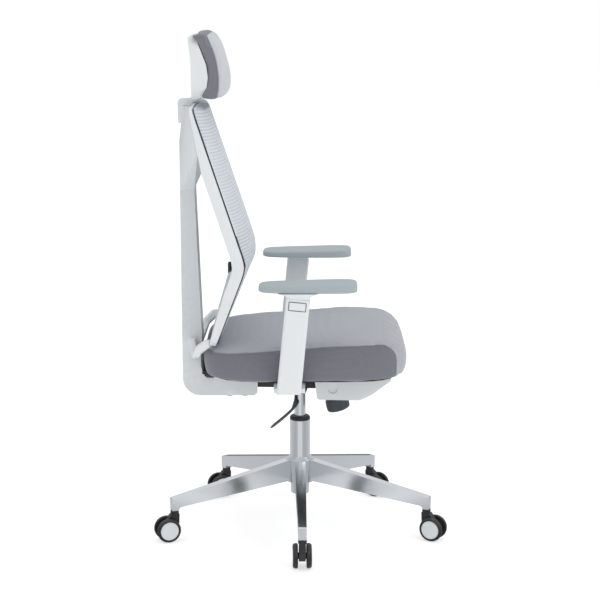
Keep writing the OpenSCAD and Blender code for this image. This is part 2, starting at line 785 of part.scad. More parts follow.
// The mesh bows out square to the frame's front and runs from the trim's front face
module back_mesh() {
    cols = 14;
    inset = 6;
    low = back_low_z + inset;
    mid_z = (back_low_z + taper_z) / 2;
    zs = concat([low, (low + mid_z) / 2, mid_z, (mid_z + taper_z) / 2, taper_z], bend_zs,
        [for (i = [1 : 5]) bend_z + bend_end + (thin_z - bend_z - bend_end) * i / 5],
        [for (i = [1 : 4]) thin_z + (back_top_z - inset - thin_z) * i / 4]);
    bow = function (z) z > bend_z + 43 ? mesh_bow
        : z > bend_z - 17 ? mesh_bow * (0.45 + 0.55 * (z - bend_z + 17) / 60)
        : mesh_bow * (0.1 + 0.35 * (z - back_low_z) / (bend_z - 17 - back_low_z));
    round_off = function (z) let (d = max(0, z - back_top_z + 22, back_low_z + 26 - z))
        22 * (1 - sqrt(1 - d * d / 784));
    grid = function (off) [for (z = zs) [for (j = [0 : cols])
        let (u = 2 * j / cols - 1, x = u * (half_w(z) - inset - round_off(z)),
             out = bow(z) * (1 - u * u))
        [x, front_y(z) - trim_t - out - off, z - front_lean(z) * out]]];
    color("#c5ccd2") sheet(grid(mesh_t), grid(0));
}

module lumbar_support() {
    z = bend_z;
    y = front_y(z) + 12;
    half = back_w / 2 - rail_w - 6;
    tab_y = bend_y + rail_d + 11.5;
    tab_h = 24;
    bow = function (u) y - mesh_bow * 0.45 * (1 - u * u);
    us = [for (j = [-6 : 6]) j / 6];
    color(slate) {
        // curved pad behind the mesh
        translate([0, 0, z - 26]) linear_extrude(52) polygon(concat(
            [for (u = us) [u * half, bow(u)]], [for (u = us) [-u * half, bow(u) + 4]]));
        // tabs that grip behind the side rails
        for (s = [-1, 1]) {
            translate([s * (half - 2) - 2, y, z - tab_h / 2]) cube([4, tab_y + 4 - y, tab_h]);
            translate([s * (half + rail_w / 2 - 4) - rail_w / 2, tab_y, z - tab_h / 2])
                cube([rail_w, 4, tab_h]);
        }
    }
}

module recline_bracket() {
    cheek = rounded([[back_pivot.x - 11, back_pivot.y - 9, 8], [104, pan_z + 5, 0],
        [120, foot_z[1], 0], [190, foot_z[1], 0], [190, foot_z[1] + 6, 0], [104, foot_z[1] + 6, 4],
        [back_pivot.x + 8, back_pivot.y + 9, 6], [back_pivot.x - 11, back_pivot.y + 9, 8]]);
    color(black) difference() {
        union() {
            for (s = [-1, 1]) side_plate(cheek, ear_t, s * ear_x);
            translate([-ear_x - ear_t / 2, 118, foot_z[1]])
                cube([2 * ear_x + ear_t, 72, 6]);
        }
        x_rod(pivot_r + fit, pan_w + 40, back_pivot);
        for (p = back_bolt_places()) translate([p.x, p.y, foot_z[1] - 1])
            cylinder(r = back_bolt_r, h = 5);
    }
}

function back_bolt_places() = [for (x = [-24, 24]) for (y = [138, 176]) [x, y]];

module back_spine() {
    profile = rounded([
        [foot_front, foot_z[0], 6], [spine_rear, foot_z[0], 44],
        [spine_rear + 1, spine_z1 - 84, 30], [spine_rear - 9, spine_z1 - 40, 10],
        [spine_rear - 9, spine_z1, 3], [rail_back(spine_z1) + rim_gap, spine_z1, 0],
        [rail_back(brace_z[1]) + rim_gap, brace_z[1], 0], [spine_rear - 34, brace_z[0], 10],
        [spine_rear - 42, (brace_z[0] + back_low_z + 17) / 2, 0],
        [spine_rear - 49, back_low_z - 11, 30],
        [spine_rear - 45, foot_z[1] + 30, 14], [spine_rear - 56, foot_z[1], 12],
        [foot_front, foot_z[1], 6]]);
    color(white) difference() {
        union() {
            side_plate(profile, spine_w);
            for (s = [-1, 1]) wing(s);
        }
        slider_slot();
        for (p = back_bolt_places()) translate([p.x, p.y, foot_z[0] - 10])
            cylinder(r = back_bolt_r, h = 100);
    }
}

// One wing of the spine's head: from the post out to the frame's side rail.  It
// stays behind the frame, and below the frame's top bar
module wing(s) {
    top = spine_z1;
    rim = function (z) rail_back(z) + rim_gap;
    x1 = half_w(brace_z[1]) - rail_w - 1;
    inner = [[rim(brace_z[1]), brace_z[1]], [spine_rear - 34, brace_z[0]],
             [spine_rear, brace_z[0] - 6], [spine_rear + 1, top - 84], [spine_rear - 9, top - 40],
             [spine_rear - 9, top], [rim(top), top]];
    outer = [[rim(brace_z[2]), brace_z[2]], [rim(brace_z[2]) + 4, brace_z[2]],
             [rim(top) + 3, top], [rim(top), top]];
    hull() {
        side_plate(inner, 2, s * (spine_half - 1));
        side_plate(outer, 2, s * x1);
    }
}

module rear_cover() {
    low = pan_z - 14;
    outside = rounded([
        [104, foot_z[1] + 9, 4], [106, low + 4, 5], [122, low - 1, 8], [146, low, 20],
        [186, low + 14, 10], [214, low + 26, 4], [214, foot_z[1] + 9, 4]]);
    color(white) difference() {
        side_plate(outside, 2 * ear_x + ear_t + 12);
        side_plate([[98, foot_z[1] + 6.5], [98, 0], [220, 0], [220, foot_z[1] + 6.5]],
            2 * ear_x + ear_t + 1);
    }
    color(white) difference() {
        side_plate([[106, low + 4], [122, low - 1], [146, low], [180, low + 14], [180, low + 17],
                    [146, low + 3], [122, low + 2], [106, low + 7]], 2 * ear_x + ear_t + 8);
        side_plate([[98, 300], [300, 300], [300, 500], [98, 500]], spine_w + 1);
    }
}

module back_bolts() {
    color(chrome) for (p = back_bolt_places()) {
        translate([p.x, p.y, foot_z[0] - 4]) cylinder(r = 7, h = 4);
        translate([p.x, p.y, foot_z[0] - 1])
            cylinder(r = back_bolt_r, h = foot_z[1] - foot_z[0] + 5);
    }
}

// ---- headrest ------------------------------------------------------------

module slider_slot() {
    translate([-tongue_w / 2 - gap, tongue_y[0] - gap, tongue_z - 3])
        cube([tongue_w + 2 * gap, tongue_y[1] - tongue_y[0] + 2 * gap, 300]);
}

module headrest_slider() {
    top = back_top_z + 8;
    bar_y = rail_back(back_top_z);      // back of the frame's top bar
    rear = spine_rear - 9 + gap;
    hook = rounded([
        [242, top - 2, 3], [250, back_top_z + 1.5, 3], [bar_y + 2, back_top_z + 1.5, 0],
        [bar_y + 2, spine_z1 + gap, 0], [rear, spine_z1 + gap, 0],
        [rear, spine_z1 - 40, 0], [rear + 13, spine_z1 - 45, 5], [rear + 14, top, 7],
        [rear - 12, top + 1, 8], [247, top + 9, 3]]);
    color(white) difference() {
        union() {
            side_plate(hook, tongue_w);
            translate([-tongue_w / 2, tongue_y[0], tongue_z])
                cube([tongue_w, tongue_y[1] - tongue_y[0], spine_z1 + 6 - tongue_z]);
            for (s = [-1, 1]) x_rod(8, 10, head_pivot, s * 17);
        }
        x_rod(4, 80, head_pivot);
    }
}

module headrest_pin() {
    color(chrome) x_rod(4, 70, head_pivot);
}

function shell_rear() = [[257, head_z0 + 2], [257, head_z0 + 60], [258, head_z0 + 100],
    [265, head_z0 + head_h - 15]];
function shell_front() = [[247, head_z0 + head_h - 13], [234, head_z0 + 118], [221, head_z0 + 84],
    [217, head_z0 + 55], [221, head_z0 + 26], [236, head_z0 + 6], [248, head_z0 + 1]];

module headrest_shell() {
    neck = rounded([[240, head_pivot.y - 9, 7], [262, head_pivot.y - 9, 7], [262, head_z0 + 40, 3],
        [230, head_z0 + 40, 3]]);
    color(white) difference() {
        union() {
            intersection() {
                side_plate(concat(shell_rear(), shell_front()), head_w - 10);
                translate([0, 300, head_z0 + head_h / 2 - 6]) rotate([90, 0, 0])
                    linear_extrude(200) polygon(squircle(head_half - 5, head_h / 2 + 5, 4));
            }
            for (s = [-1, 1]) side_plate(neck, 10, s * 29);
        }
        x_rod(4 + fit, 90, head_pivot);
        translate([-23.4 - 0.2, 200, head_z0 - 60]) cube([47.2, 62.5, 62 + 12]);
    }
}

module headrest_pad() {
    at_end = rounded([
        [250, head_z0 + head_h - 1, 4], [213, head_z0 + head_h - 4, 14], [198, head_z0 + 118, 0],
        [184, head_z0 + 64, 0], [186, head_z0 + 24, 0], [194, head_z0 - 1, 8], [238, head_z0 + 2, 4],
        [221, head_z0 + 26, 0], [217, head_z0 + 55, 0]]);
    at_middle = rounded([
        [240, head_z0 + head_h, 4], [206, head_z0 + head_h - 8, 14], [186, head_z0 + 110, 0],
        [172, head_z0 + 58, 0], [172, head_z0 + 22, 0], [182, head_z0 - 2, 8], [236, head_z0, 4]]);
    color("#8c8d95") difference() {
        hull() {
            side_plate(at_end, head_w - 6);
            side_plate(at_middle, head_w / 2);
        }
        side_plate(concat([[400, head_z0 + head_h + 20], [400, head_z0 - 40], [236.5, head_z0 - 40]],
            [for (i = [len(shell_front()) - 1 : -1 : 0]) shell_front()[i]],
            [[250, head_z0 + head_h + 20]]), head_w + 20);
    }
}

// ---- castors -------------------------------------------------------------

module at_castor(i) {
    a = 180 + base_turn + castor_step * (i - 1);
    translate([leg_reach * cos(a), leg_reach * sin(a), 0])
        rotate([0, 0, castor_yaws[i - 1]]) children();
}

module y_rod(r, y0, y1) {
    translate([castor_trail, y1, wheel_r]) rotate([90, 0, 0]) cylinder(r = r, h = y1 - y0);
}

module castor_fork() {
    neck_r = leg_tip_w / 2 + 0.5;
    z1 = castor_h - 0.3;
    body = rounded([
        [-neck_r, z1 - neck_h, 0], [neck_r, z1 - neck_h, 0], [castor_trail + 17, wheel_r + 6, 12],
        [castor_trail + 12, wheel_r - 12, 8], [castor_trail - 10, wheel_r - 12, 8],
        [-neck_r + 1, wheel_r + 14, 8]]);
    color(black) difference() {
        union() {
            translate([0, 0, z1 - neck_h]) cylinder(r = neck_r, h = neck_h);
            translate([0, 0, z1 - eps]) cylinder(r = stem_d / 2, h = stem_l);
            translate([0, fork_t / 2, 0]) rotate([90, 0, 0]) linear_extrude(fork_t) polygon(body);
            y_rod(8, -wheel_y + 0.3, wheel_y - 0.3);
        }
        y_rod(axle_d / 2, -30, 30);
    }
}

module castor_axle() {
    color(chrome) y_rod(axle_d / 2, -wheel_y - wheel_w + 3, wheel_y + wheel_w - 3);
}

// Wheel on the +Y side, with its pale disc cap as a second solid
module castor_wheel() {
    r = wheel_r;
    w = wheel_w;
    translate([castor_trail, wheel_y, wheel_r]) rotate([-90, 0, 0]) {
        color(black) rotate_extrude() polygon([
            [axle_d / 2 + fit, 0], [r - 1.5, 0], [r, 1.5], [r, w - 4], [r - 3, w],
            [cap_r, w], [cap_r, w - 2.4], [axle_d / 2 + fit, w - 2.4]]);
        color("#d5dadd") rotate_extrude() polygon([
            [0, w - 2.4], [cap_r, w - 2.4], [cap_r, w - 0.4], [cap_r * 0.6, w + 0.4], [0, w + 0.6]]);
    }
}

module castor_piece(i, piece) {
    at_castor(i) {
        if (piece == "fork") castor_fork();
        if (piece == "axle") castor_axle();
        if (piece == "wheel_a") castor_wheel();
        if (piece == "wheel_b") mirror([0, 1, 0]) castor_wheel();
    }
}

// ---- the chair -----------------------------------------------------------

star_base();
column_tube();
column_bush();
column_collar();
thrust_bearing();
piston_rod();
gas_cylinder();
gas_release_pin();
mechanism_pan();
tilt_pivots();
tilt_spring();
front_cover();
tension_knob();
lever_pin();
height_lever();
seat_plate();
seat_shell();
seat_cushion();
under_seat_bolts();
right_arm_sleeve();
left_arm_sleeve();
right_arm_post();
left_arm_post();
right_arm_button();
left_arm_button();
right_arm_pad();
left_arm_pad();
recline_bracket();
back_spine();
rear_cover();
back_bolts();
back_frame();
mesh_trim();
back_mesh();
lumbar_support();
headrest_slider();
headrest_pin();
headrest_shell();
headrest_pad();
for (i = [1 : castor_count]) for (piece = ["fork", "axle", "wheel_a", "wheel_b"])
    castor_piece(i, piece);
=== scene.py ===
"""Looks of a swivel office chair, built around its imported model.

Metres, +Z up, the chair faces -Y and the sitter's right is -X.  Hard parts are
their own CAD meshes with rounded edges; cushions, mesh, pads, wheels and the
lever are surfaces computed here.
"""

import json
import math

import bmesh
import bpy
import numpy as np
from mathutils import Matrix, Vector
from mathutils.bvhtree import BVHTree


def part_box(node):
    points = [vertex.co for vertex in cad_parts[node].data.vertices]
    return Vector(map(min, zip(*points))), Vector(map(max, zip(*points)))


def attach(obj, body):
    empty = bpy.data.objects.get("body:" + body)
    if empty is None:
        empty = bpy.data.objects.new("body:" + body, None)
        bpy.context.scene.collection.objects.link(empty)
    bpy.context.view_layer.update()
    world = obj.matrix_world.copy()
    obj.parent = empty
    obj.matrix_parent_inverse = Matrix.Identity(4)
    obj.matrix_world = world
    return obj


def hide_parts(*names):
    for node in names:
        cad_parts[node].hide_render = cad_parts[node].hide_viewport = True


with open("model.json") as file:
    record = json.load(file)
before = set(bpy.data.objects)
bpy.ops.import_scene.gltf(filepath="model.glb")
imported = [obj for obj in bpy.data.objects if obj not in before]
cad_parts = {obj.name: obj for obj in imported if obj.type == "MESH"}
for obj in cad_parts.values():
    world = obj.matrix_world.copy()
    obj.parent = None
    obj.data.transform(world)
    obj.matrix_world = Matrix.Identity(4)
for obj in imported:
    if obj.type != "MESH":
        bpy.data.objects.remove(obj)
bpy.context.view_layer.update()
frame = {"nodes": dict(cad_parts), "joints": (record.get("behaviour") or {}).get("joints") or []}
MM = 0.001


# ---- camera, light and floor -------------------------------------------------

def make_camera():
    """Camera at the sitter's right, looking along +X and a little down."""
    data = bpy.data.cameras.new("camera")
    data.sensor_width = 36
    data.lens = 102.4
    data.clip_end = 50
    camera = bpy.data.objects.new("camera", data)
    bpy.context.scene.collection.objects.link(camera)
    camera.location = (-4.177, 0, 1.406)
    camera.rotation_euler = (math.radians(90 - 11.07), 0, math.radians(-90))
    bpy.context.scene.camera = camera


def area_light(name, at, target, size, watts):
    data = bpy.data.lights.new(name, "AREA")
    data.size = size
    data.energy = watts
    light = bpy.data.objects.new(name, data)
    bpy.context.scene.collection.objects.link(light)
    light.location = at
    light.rotation_euler = (Vector(target) - Vector(at)).to_track_quat("-Z", "Y").to_euler()


def fill_ramp(node, stops, tint):
    """Grey levels at places along a colour ramp, with blue scaled by tint."""
    ramp = node.color_ramp
    while len(ramp.elements) < len(stops):
        ramp.elements.new(0.5)
    for element, (place, level) in zip(ramp.elements, stops):
        element.position = place
        element.color = (level, level, level * tint, 1)


def make_world():
    """White to the eye; what it lights with is bright above and dim at the horizon,
    so that polished metal has something dark to mirror."""
    world = bpy.data.worlds.new("studio")
    bpy.context.scene.world = world
    world.use_nodes = True
    tree = world.node_tree
    tree.nodes.clear()
    out = tree.nodes.new("ShaderNodeOutputWorld")
    mix = tree.nodes.new("ShaderNodeMixShader")
    seen = tree.nodes.new("ShaderNodeBackground")
    seen.inputs["Color"].default_value = (1, 1, 1, 1)
    lit = tree.nodes.new("ShaderNodeBackground")
    path = tree.nodes.new("ShaderNodeLightPath")
    where = tree.nodes.new("ShaderNodeTexCoord")
    split = tree.nodes.new("ShaderNodeSeparateXYZ")
    ramp = tree.nodes.new("ShaderNodeValToRGB")
    fill_ramp(ramp, [(0.0, 0.60), (0.42, 0.55), (0.5, 0.20), (0.56, 0.32), (0.68, 0.76),
                     (1.0, 0.95)], 1.01)
    scale = tree.nodes.new("ShaderNodeMapRange")
    scale.inputs["From Min"].default_value = -1
    link = tree.links.new
    link(where.outputs["Generated"], split.inputs[0])
    link(split.outputs["Z"], scale.inputs["Value"])
    link(scale.outputs[0], ramp.inputs[0])
    link(ramp.outputs[0], lit.inputs["Color"])
    link(path.outputs["Is Camera Ray"], mix.inputs[0])
    link(lit.outputs[0], mix.inputs[1])
    link(seen.outputs[0], mix.inputs[2])
    link(mix.outputs[0], out.inputs[0])


def maths(tree, operation, a, b=None, c=None):
    """A Math node on sockets or plain numbers; returns its output socket."""
    node = tree.nodes.new("ShaderNodeMath")
    node.operation = operation
    for i, value in enumerate((a, b, c)):
        if value is None:
            continue
        if isinstance(value, (int, float)):
            node.inputs[i].default_value = value
        else:
            tree.links.new(value, node.inputs[i])
    return node.outputs[0]


def make_floor():
    """Pale floor.  Polished metal sees it in broad light and dark sectors round the column
    (a ramp on the angle from -X), as it would see the boards round a studio table."""
    mesh = bpy.data.meshes.new("floor")
    half = 14
    mesh.from_pydata([(-half, -half, 0), (half, -half, 0), (half, half, 0), (-half, half, 0)],
                     [], [(0, 1, 2, 3)])
    floor = bpy.data.objects.new("floor", mesh)
    bpy.context.scene.collection.objects.link(floor)
    material = bpy.data.materials.new("floor_paper")
    material.use_nodes = True
    tree = material.node_tree
    shader = tree.nodes["Principled BSDF"]
    shader.inputs["Base Color"].default_value = (0.6, 0.6, 0.6, 1)
    shader.inputs["Roughness"].default_value = 0.9
    shader.inputs["Emission Color"].default_value = (1, 1, 1, 1)
    shader.inputs["Emission Strength"].default_value = 0.60
    split = tree.nodes.new("ShaderNodeSeparateXYZ")
    tree.links.new(tree.nodes.new("ShaderNodeTexCoord").outputs["Object"], split.inputs[0])
    side = maths(tree, "ABSOLUTE", split.outputs["Y"])
    ahead = maths(tree, "MULTIPLY", split.outputs["X"], -1.0)
    turn = maths(tree, "DIVIDE", maths(tree, "ARCTAN2", side, ahead), math.pi)
    ramp = tree.nodes.new("ShaderNodeValToRGB")
    ramp.color_ramp.interpolation = "EASE"
    fill_ramp(ramp, [(0.0, 0.62), (0.06, 0.88), (0.17, 0.52), (0.30, 0.46), (0.60, 0.56),
                     (0.80, 0.70), (0.90, 0.12), (1.0, 0.25)], 1.02)
    tree.links.new(turn, ramp.inputs[0])
    sectors = tree.nodes.new("ShaderNodeEmission")
    tree.links.new(ramp.outputs[0], sectors.inputs["Color"])
    path = tree.nodes.new("ShaderNodeLightPath")
    mix = tree.nodes.new("ShaderNodeMixShader")
    tree.links.new(path.outputs["Is Glossy Ray"], mix.inputs[0])
    tree.links.new(shader.outputs[0], mix.inputs[1])
    tree.links.new(sectors.outputs[0], mix.inputs[2])
    tree.links.new(mix.outputs[0], tree.nodes["Material Output"].inputs[0])
    mesh.materials.append(material)


make_camera()
make_world()
make_floor()
bpy.context.scene.view_settings.view_transform = "Standard"
area_light("key", (-2.6, -2.8, 3.4), (0, 0, 0.7), 2.2, 24)
area_light("top", (0.3, 0.2, 3.6), (0, 0, 0.6), 2.6, 7)
area_light("front", (-1.2, -3.6, 1.5), (0, 0, 0.8), 1.6, 5)
area_light("fill", (-3.4, 2.6, 1.6), (0, 0, 0.7), 2.0, 4)


# ---- shader groups -------------------------------------------------------------

def new_group(name, inputs, outputs):
    """An empty node group; inputs and outputs are lists of (name, kind, value)."""
    group = bpy.data.node_groups.new(name, "ShaderNodeTree")
    for label, kind, value in inputs:
        socket = group.interface.new_socket(label, in_out="INPUT", socket_type="NodeSocket" + kind)
        if value is not None:
            socket.default_value = value
    for label, kind in outputs:
        group.interface.new_socket(label, in_out="OUTPUT", socket_type="NodeSocket" + kind)
    return group, group.nodes.new("NodeGroupInput"), group.nodes.new("NodeGroupOutput")


def axes_of(tree, vector):
    split = tree.nodes.new("ShaderNodeSeparateXYZ")
    tree.links.new(vector, split.inputs[0])
    return split.outputs


def noise(tree, vector, scale, detail=3.0, roughness=0.5):
    node = tree.nodes.new("ShaderNodeTexNoise")
    node.inputs["Detail"].default_value = detail
    node.inputs["Roughness"].default_value = roughness
    tree.links.new(vector, node.inputs["Vector"])
    if isinstance(scale, (int, float)):
        node.inputs["Scale"].default_value = scale
    else:
        tree.links.new(scale, node.inputs["Scale"])
    return node.outputs["Fac"]


def mix_colour(tree, factor, a, b, kind="MIX"):
    node = tree.nodes.new("ShaderNodeMix")
    node.data_type = "RGBA"
    node.blend_type = kind
    for value, socket in ((factor, node.inputs[0]), (a, node.inputs[6]), (b, node.inputs[7])):
        if isinstance(value, (int, float)):
            socket.default_value = value
        elif isinstance(value, tuple):
            socket.default_value = (*value, 1)
        else:
            tree.links.new(value, socket)
    return node.outputs[2]


def group_moulded():
    """Moulded skin: a fine orange-peel height, a slow drift of tone and its gloss."""
    group, enter, leave = new_group("moulded_skin", [
        ("Vector", "Vector", None), ("Colour", "Color", (0.8, 0.8, 0.8, 1)),
        ("Drift", "Float", 0.04), ("Grain Scale", "Float", 900.0),
        ("Roughness", "Float", 0.4)], [("Colour", "Color"), ("Roughness", "Float"),
                                       ("Height", "Float")])
    at = enter.outputs["Vector"]
    slow = noise(group, at, 6.0, 2.0)
    spread = maths(group, "MULTIPLY_ADD", slow, 2.0, -1.0)
    shift = maths(group, "MULTIPLY_ADD", spread, enter.outputs["Drift"], 1.0)
    tint = group.nodes.new("ShaderNodeVectorMath")
    tint.operation = "SCALE"
    group.links.new(enter.outputs["Colour"], tint.inputs[0])
    group.links.new(shift, tint.inputs["Scale"])
    group.links.new(tint.outputs[0], leave.inputs["Colour"])
    patch = maths(group, "MULTIPLY_ADD", noise(group, at, 45.0, 4.0), 0.16, -0.08)
    rough = maths(group, "ADD", enter.outputs["Roughness"], patch)
    group.links.new(rough, leave.inputs["Roughness"])
    group.links.new(noise(group, at, enter.outputs["Grain Scale"], 2.0), leave.inputs["Height"])
    return group


def group_edge_wear():
    """Where an outer edge is rubbed: high on convex edges, broken up by noise."""
    group, enter, leave = new_group("edge_wear", [
        ("Vector", "Vector", None), ("Amount", "Float", 0.5)], [("Mask", "Float")])
    shape = group.nodes.new("ShaderNodeNewGeometry")
    edge = group.nodes.new("ShaderNodeMapRange")
    edge.inputs["From Min"].default_value = 0.53
    edge.inputs["From Max"].default_value = 0.62
    group.links.new(shape.outputs["Pointiness"], edge.inputs["Value"])
    broken = maths(group, "GREATER_THAN", noise(group, enter.outputs["Vector"], 70.0, 5.0), 0.47)
    both = maths(group, "MULTIPLY", edge.outputs[0], broken)
    group.links.new(maths(group, "MULTIPLY", both, enter.outputs["Amount"]), leave.inputs["Mask"])
    return group


def group_dust():
    """Fine dust that lies on what faces up."""
    group, enter, leave = new_group("settled_dust", [
        ("Vector", "Vector", None), ("Amount", "Float", 0.1)], [("Mask", "Float")])
    shape = group.nodes.new("ShaderNodeNewGeometry")
    up = maths(group, "MAXIMUM", axes_of(group, shape.outputs["Normal"])["Z"], 0.0)
    flecks = noise(group, enter.outputs["Vector"], 260.0, 6.0, 0.7)
    fine = maths(group, "MULTIPLY", maths(group, "POWER", flecks, 2.0), up)
    group.links.new(maths(group, "MULTIPLY", fine, enter.outputs["Amount"]), leave.inputs["Mask"])
    return group


def group_weave():
    """Woven cloth as the sum of three waves, one along each axis, so that threads show
    whichever way the surface faces; Thread is high on a thread and low between."""
    group, enter, leave = new_group("plain_weave", [
        ("Vector", "Vector", None), ("Pitch", "Float", 0.0016)],
        [("Thread", "Float"), ("Melange", "Float")])
    at = enter.outputs["Vector"]
    wobble = group.nodes.new("ShaderNodeVectorMath")
    wobble.operation = "MULTIPLY_ADD"
    drift = group.nodes.new("ShaderNodeTexNoise")
    drift.inputs["Scale"].default_value = 35
    group.links.new(at, drift.inputs["Vector"])
    group.links.new(drift.outputs["Color"], wobble.inputs[0])
    wobble.inputs[1].default_value = (0.002, 0.002, 0.002)
    group.links.new(at, wobble.inputs[2])
    turn = maths(group, "DIVIDE", 2 * math.pi, enter.outputs["Pitch"])
    waves = [maths(group, "SINE", maths(group, "MULTIPLY", part, turn))
             for part in axes_of(group, wobble.outputs[0])]
    total = maths(group, "ADD", maths(group, "ADD", waves[0], waves[1]), waves[2])
    group.links.new(maths(group, "MULTIPLY_ADD", total, 0.17, 0.5), leave.inputs["Thread"])
    flecks = noise(group, at, 620.0, 4.0, 0.75)
    group.links.new(flecks, leave.inputs["Melange"])
    return group


def group_polish():
    """Fine scratches and smears on polished metal."""
    group, enter, leave = new_group("polish_marks", [
        ("Vector", "Vector", None), ("Strength", "Float", 0.04)],
        [("Roughness", "Float"), ("Height", "Float")])
    smear = noise(group, enter.outputs["Vector"], 22.0, 6.0, 0.65)
    group.links.new(maths(group, "MULTIPLY", smear, enter.outputs["Strength"]),
                    leave.inputs["Roughness"])
    stretch = group.nodes.new("ShaderNodeMapping")
    stretch.inputs["Scale"].default_value = (1, 1, 9)
    group.links.new(enter.outputs["Vector"], stretch.inputs["Vector"])
    group.links.new(noise(group, stretch.outputs[0], 420.0, 3.0), leave.inputs["Height"])
    return group


moulded = group_moulded()
edge_wear = group_edge_wear()
dust = group_dust()
weave = group_weave()
polish = group_polish()


# ---- materials -----------------------------------------------------------------

class Finish:
    """A material being wired: its tree, shader and Object coordinates."""

    def __init__(self, name, rough, metallic=0.0, specular=0.5):
        self.material = bpy.data.materials.new(name)
        self.material.use_nodes = True
        self.tree = self.material.node_tree
        self.shader = self.tree.nodes["Principled BSDF"]
        self.shader.inputs["Roughness"].default_value = rough
        self.shader.inputs["Metallic"].default_value = metallic
        self.shader.inputs["Specular IOR Level"].default_value = specular
        self.at = self.tree.nodes.new("ShaderNodeTexCoord").outputs["Object"]

    def use(self, group, **values):
        node = self.tree.nodes.new("ShaderNodeGroup")
        node.node_tree = group
        self.tree.links.new(self.at, node.inputs["Vector"])
        for label, value in values.items():
            node.inputs[label.replace("_", " ")].default_value = value
        return node.outputs

    def set(self, socket, source):
        self.tree.links.new(source, self.shader.inputs[socket])

    def bump(self, height, depth, strength=0.5):
        node = self.tree.nodes.new("ShaderNodeBump")
        node.inputs["Strength"].default_value = strength
        node.inputs["Distance"].default_value = depth
        self.tree.links.new(height, node.inputs["Height"])
        self.set("Normal", node.outputs[0])


def plastic(name, colour, rough, wear=0.3, worn=None, drift=0.03, grain=900.0, depth=0.00006,
            dusty=0.10):
    """Moulded plastic with worn edges and settled dust."""
    finish = Finish(name, rough)
    skin = finish.use(moulded, Colour=(*colour, 1), Drift=drift, Roughness=rough,
                      Grain_Scale=grain)
    rubbed = finish.use(edge_wear, Amount=wear)["Mask"]
    dusted = finish.use(dust, Amount=dusty)["Mask"]
    worn = worn or tuple(min(1.0, c * 1.12 + 0.02) for c in colour)
    tone = mix_colour(finish.tree, rubbed, skin["Colour"], worn)
    finish.set("Base Color", mix_colour(finish.tree, dusted, tone, (0.62, 0.60, 0.57)))
    finish.set("Roughness", skin["Roughness"])
    finish.bump(skin["Height"], depth)
    return finish.material


def metal(name, colour, rough, marks=0.05, depth=0.00002):
    finish = Finish(name, rough, metallic=1.0)
    mark = finish.use(polish, Strength=marks)
    rubbed = finish.use(edge_wear, Amount=0.5)["Mask"]
    finish.set("Base Color", mix_colour(finish.tree, rubbed, colour,
                                        tuple(min(1.0, c * 1.1) for c in colour)))
    finish.set("Roughness", maths(finish.tree, "ADD", mark["Roughness"], rough))
    finish.bump(mark["Height"], depth, 0.3)
    return finish.material


def cloth_colour(finish, dark, light, pitch, depth):
    """Woven colour from dark between threads to light on them, with flecks."""
    threads = finish.use(weave, Pitch=pitch)
    tone = mix_colour(finish.tree, threads["Thread"], dark, light)
    fleck = maths(finish.tree, "MULTIPLY_ADD", threads["Melange"], 0.5, 0.75)
    grey = finish.tree.nodes.new("ShaderNodeCombineColor")
    for socket in grey.inputs[:3]:
        finish.tree.links.new(fleck, socket)
    finish.bump(threads["Thread"], depth, 0.6)
    return mix_colour(finish.tree, 1.0, tone, grey.outputs[0], "MULTIPLY")


def corner_distance(tree, across, up, radius):
    """Signed distance to a quarter-plane with a rounded corner: negative where across
    and up are both negative; both are measured outwards from the two edges."""
    a = maths(tree, "ADD", across, radius)
    b = maths(tree, "ADD", up, radius)
    outside = maths(tree, "SQRT", maths(tree, "ADD",
                    maths(tree, "POWER", maths(tree, "MAXIMUM", a, 0.0), 2.0),
                    maths(tree, "POWER", maths(tree, "MAXIMUM", b, 0.0), 2.0)))
    inside = maths(tree, "MINIMUM", maths(tree, "MAXIMUM", a, b), 0.0)
    return maths(tree, "SUBTRACT", maths(tree, "ADD", outside, inside), radius)


def two_tone_cloth(name, band, panel, distance):
    """Cloth whose panel colour gives way to its band colour where distance(tree, axes)
    is negative."""
    finish = Finish(name, 0.85, specular=0.25)
    finish.shader.inputs["Sheen Weight"].default_value = 0.25
    finish.shader.inputs["Sheen Roughness"].default_value = 0.5
    far = distance(finish.tree, axes_of(finish.tree, finish.at))
    edge = maths(finish.tree, "MULTIPLY_ADD", far, 1 / (1.2 * MM), 0.5)
    edge = maths(finish.tree, "MINIMUM", maths(finish.tree, "MAXIMUM", edge, 0.0), 1.0)
    dark = mix_colour(finish.tree, edge, tuple(c * 0.94 for c in band),
                      tuple(c * 0.95 for c in panel))
    light = mix_colour(finish.tree, edge, tuple(c * 1.06 for c in band),
                       tuple(c * 1.05 for c in panel))
    finish.set("Base Color", cloth_colour(finish, dark, light, 0.0021, 0.0002))
    return finish.material


def welt_cloth(name, colour):
    finish = Finish(name, 0.8, specular=0.25)
    finish.set("Base Color", cloth_colour(finish, tuple(c * 0.75 for c in colour), colour,
                                          0.0012, 0.0002))
    return finish.material


# The cushion's seam: it rises a little along the side towards the front, where it is
# level, then turns a corner and runs down in front of the side band.
SEAT_SEAM = 0.522
SEAT_SEAM_ZERO = 0.513875
SEAT_SLOPE = 0.075
SEAT_FRONT_SEAM = -0.230
SEAT_CORNER = 0.040


def seat_seam_height(y):
    """Height of the cushion's seam at depth y: min(0.522, 0.513875 - 0.075 y)."""
    return np.minimum(SEAT_SEAM, SEAT_SEAM_ZERO - SEAT_SLOPE * y)


def seat_band(tree, at):
    line = maths(tree, "MULTIPLY_ADD", at["Y"], -SEAT_SLOPE, SEAT_SEAM_ZERO)
    height = maths(tree, "MINIMUM", line, SEAT_SEAM)
    up = maths(tree, "SUBTRACT", at["Z"], height)
    forward = maths(tree, "SUBTRACT", SEAT_FRONT_SEAM, at["Y"])
    return corner_distance(tree, forward, up, SEAT_CORNER)


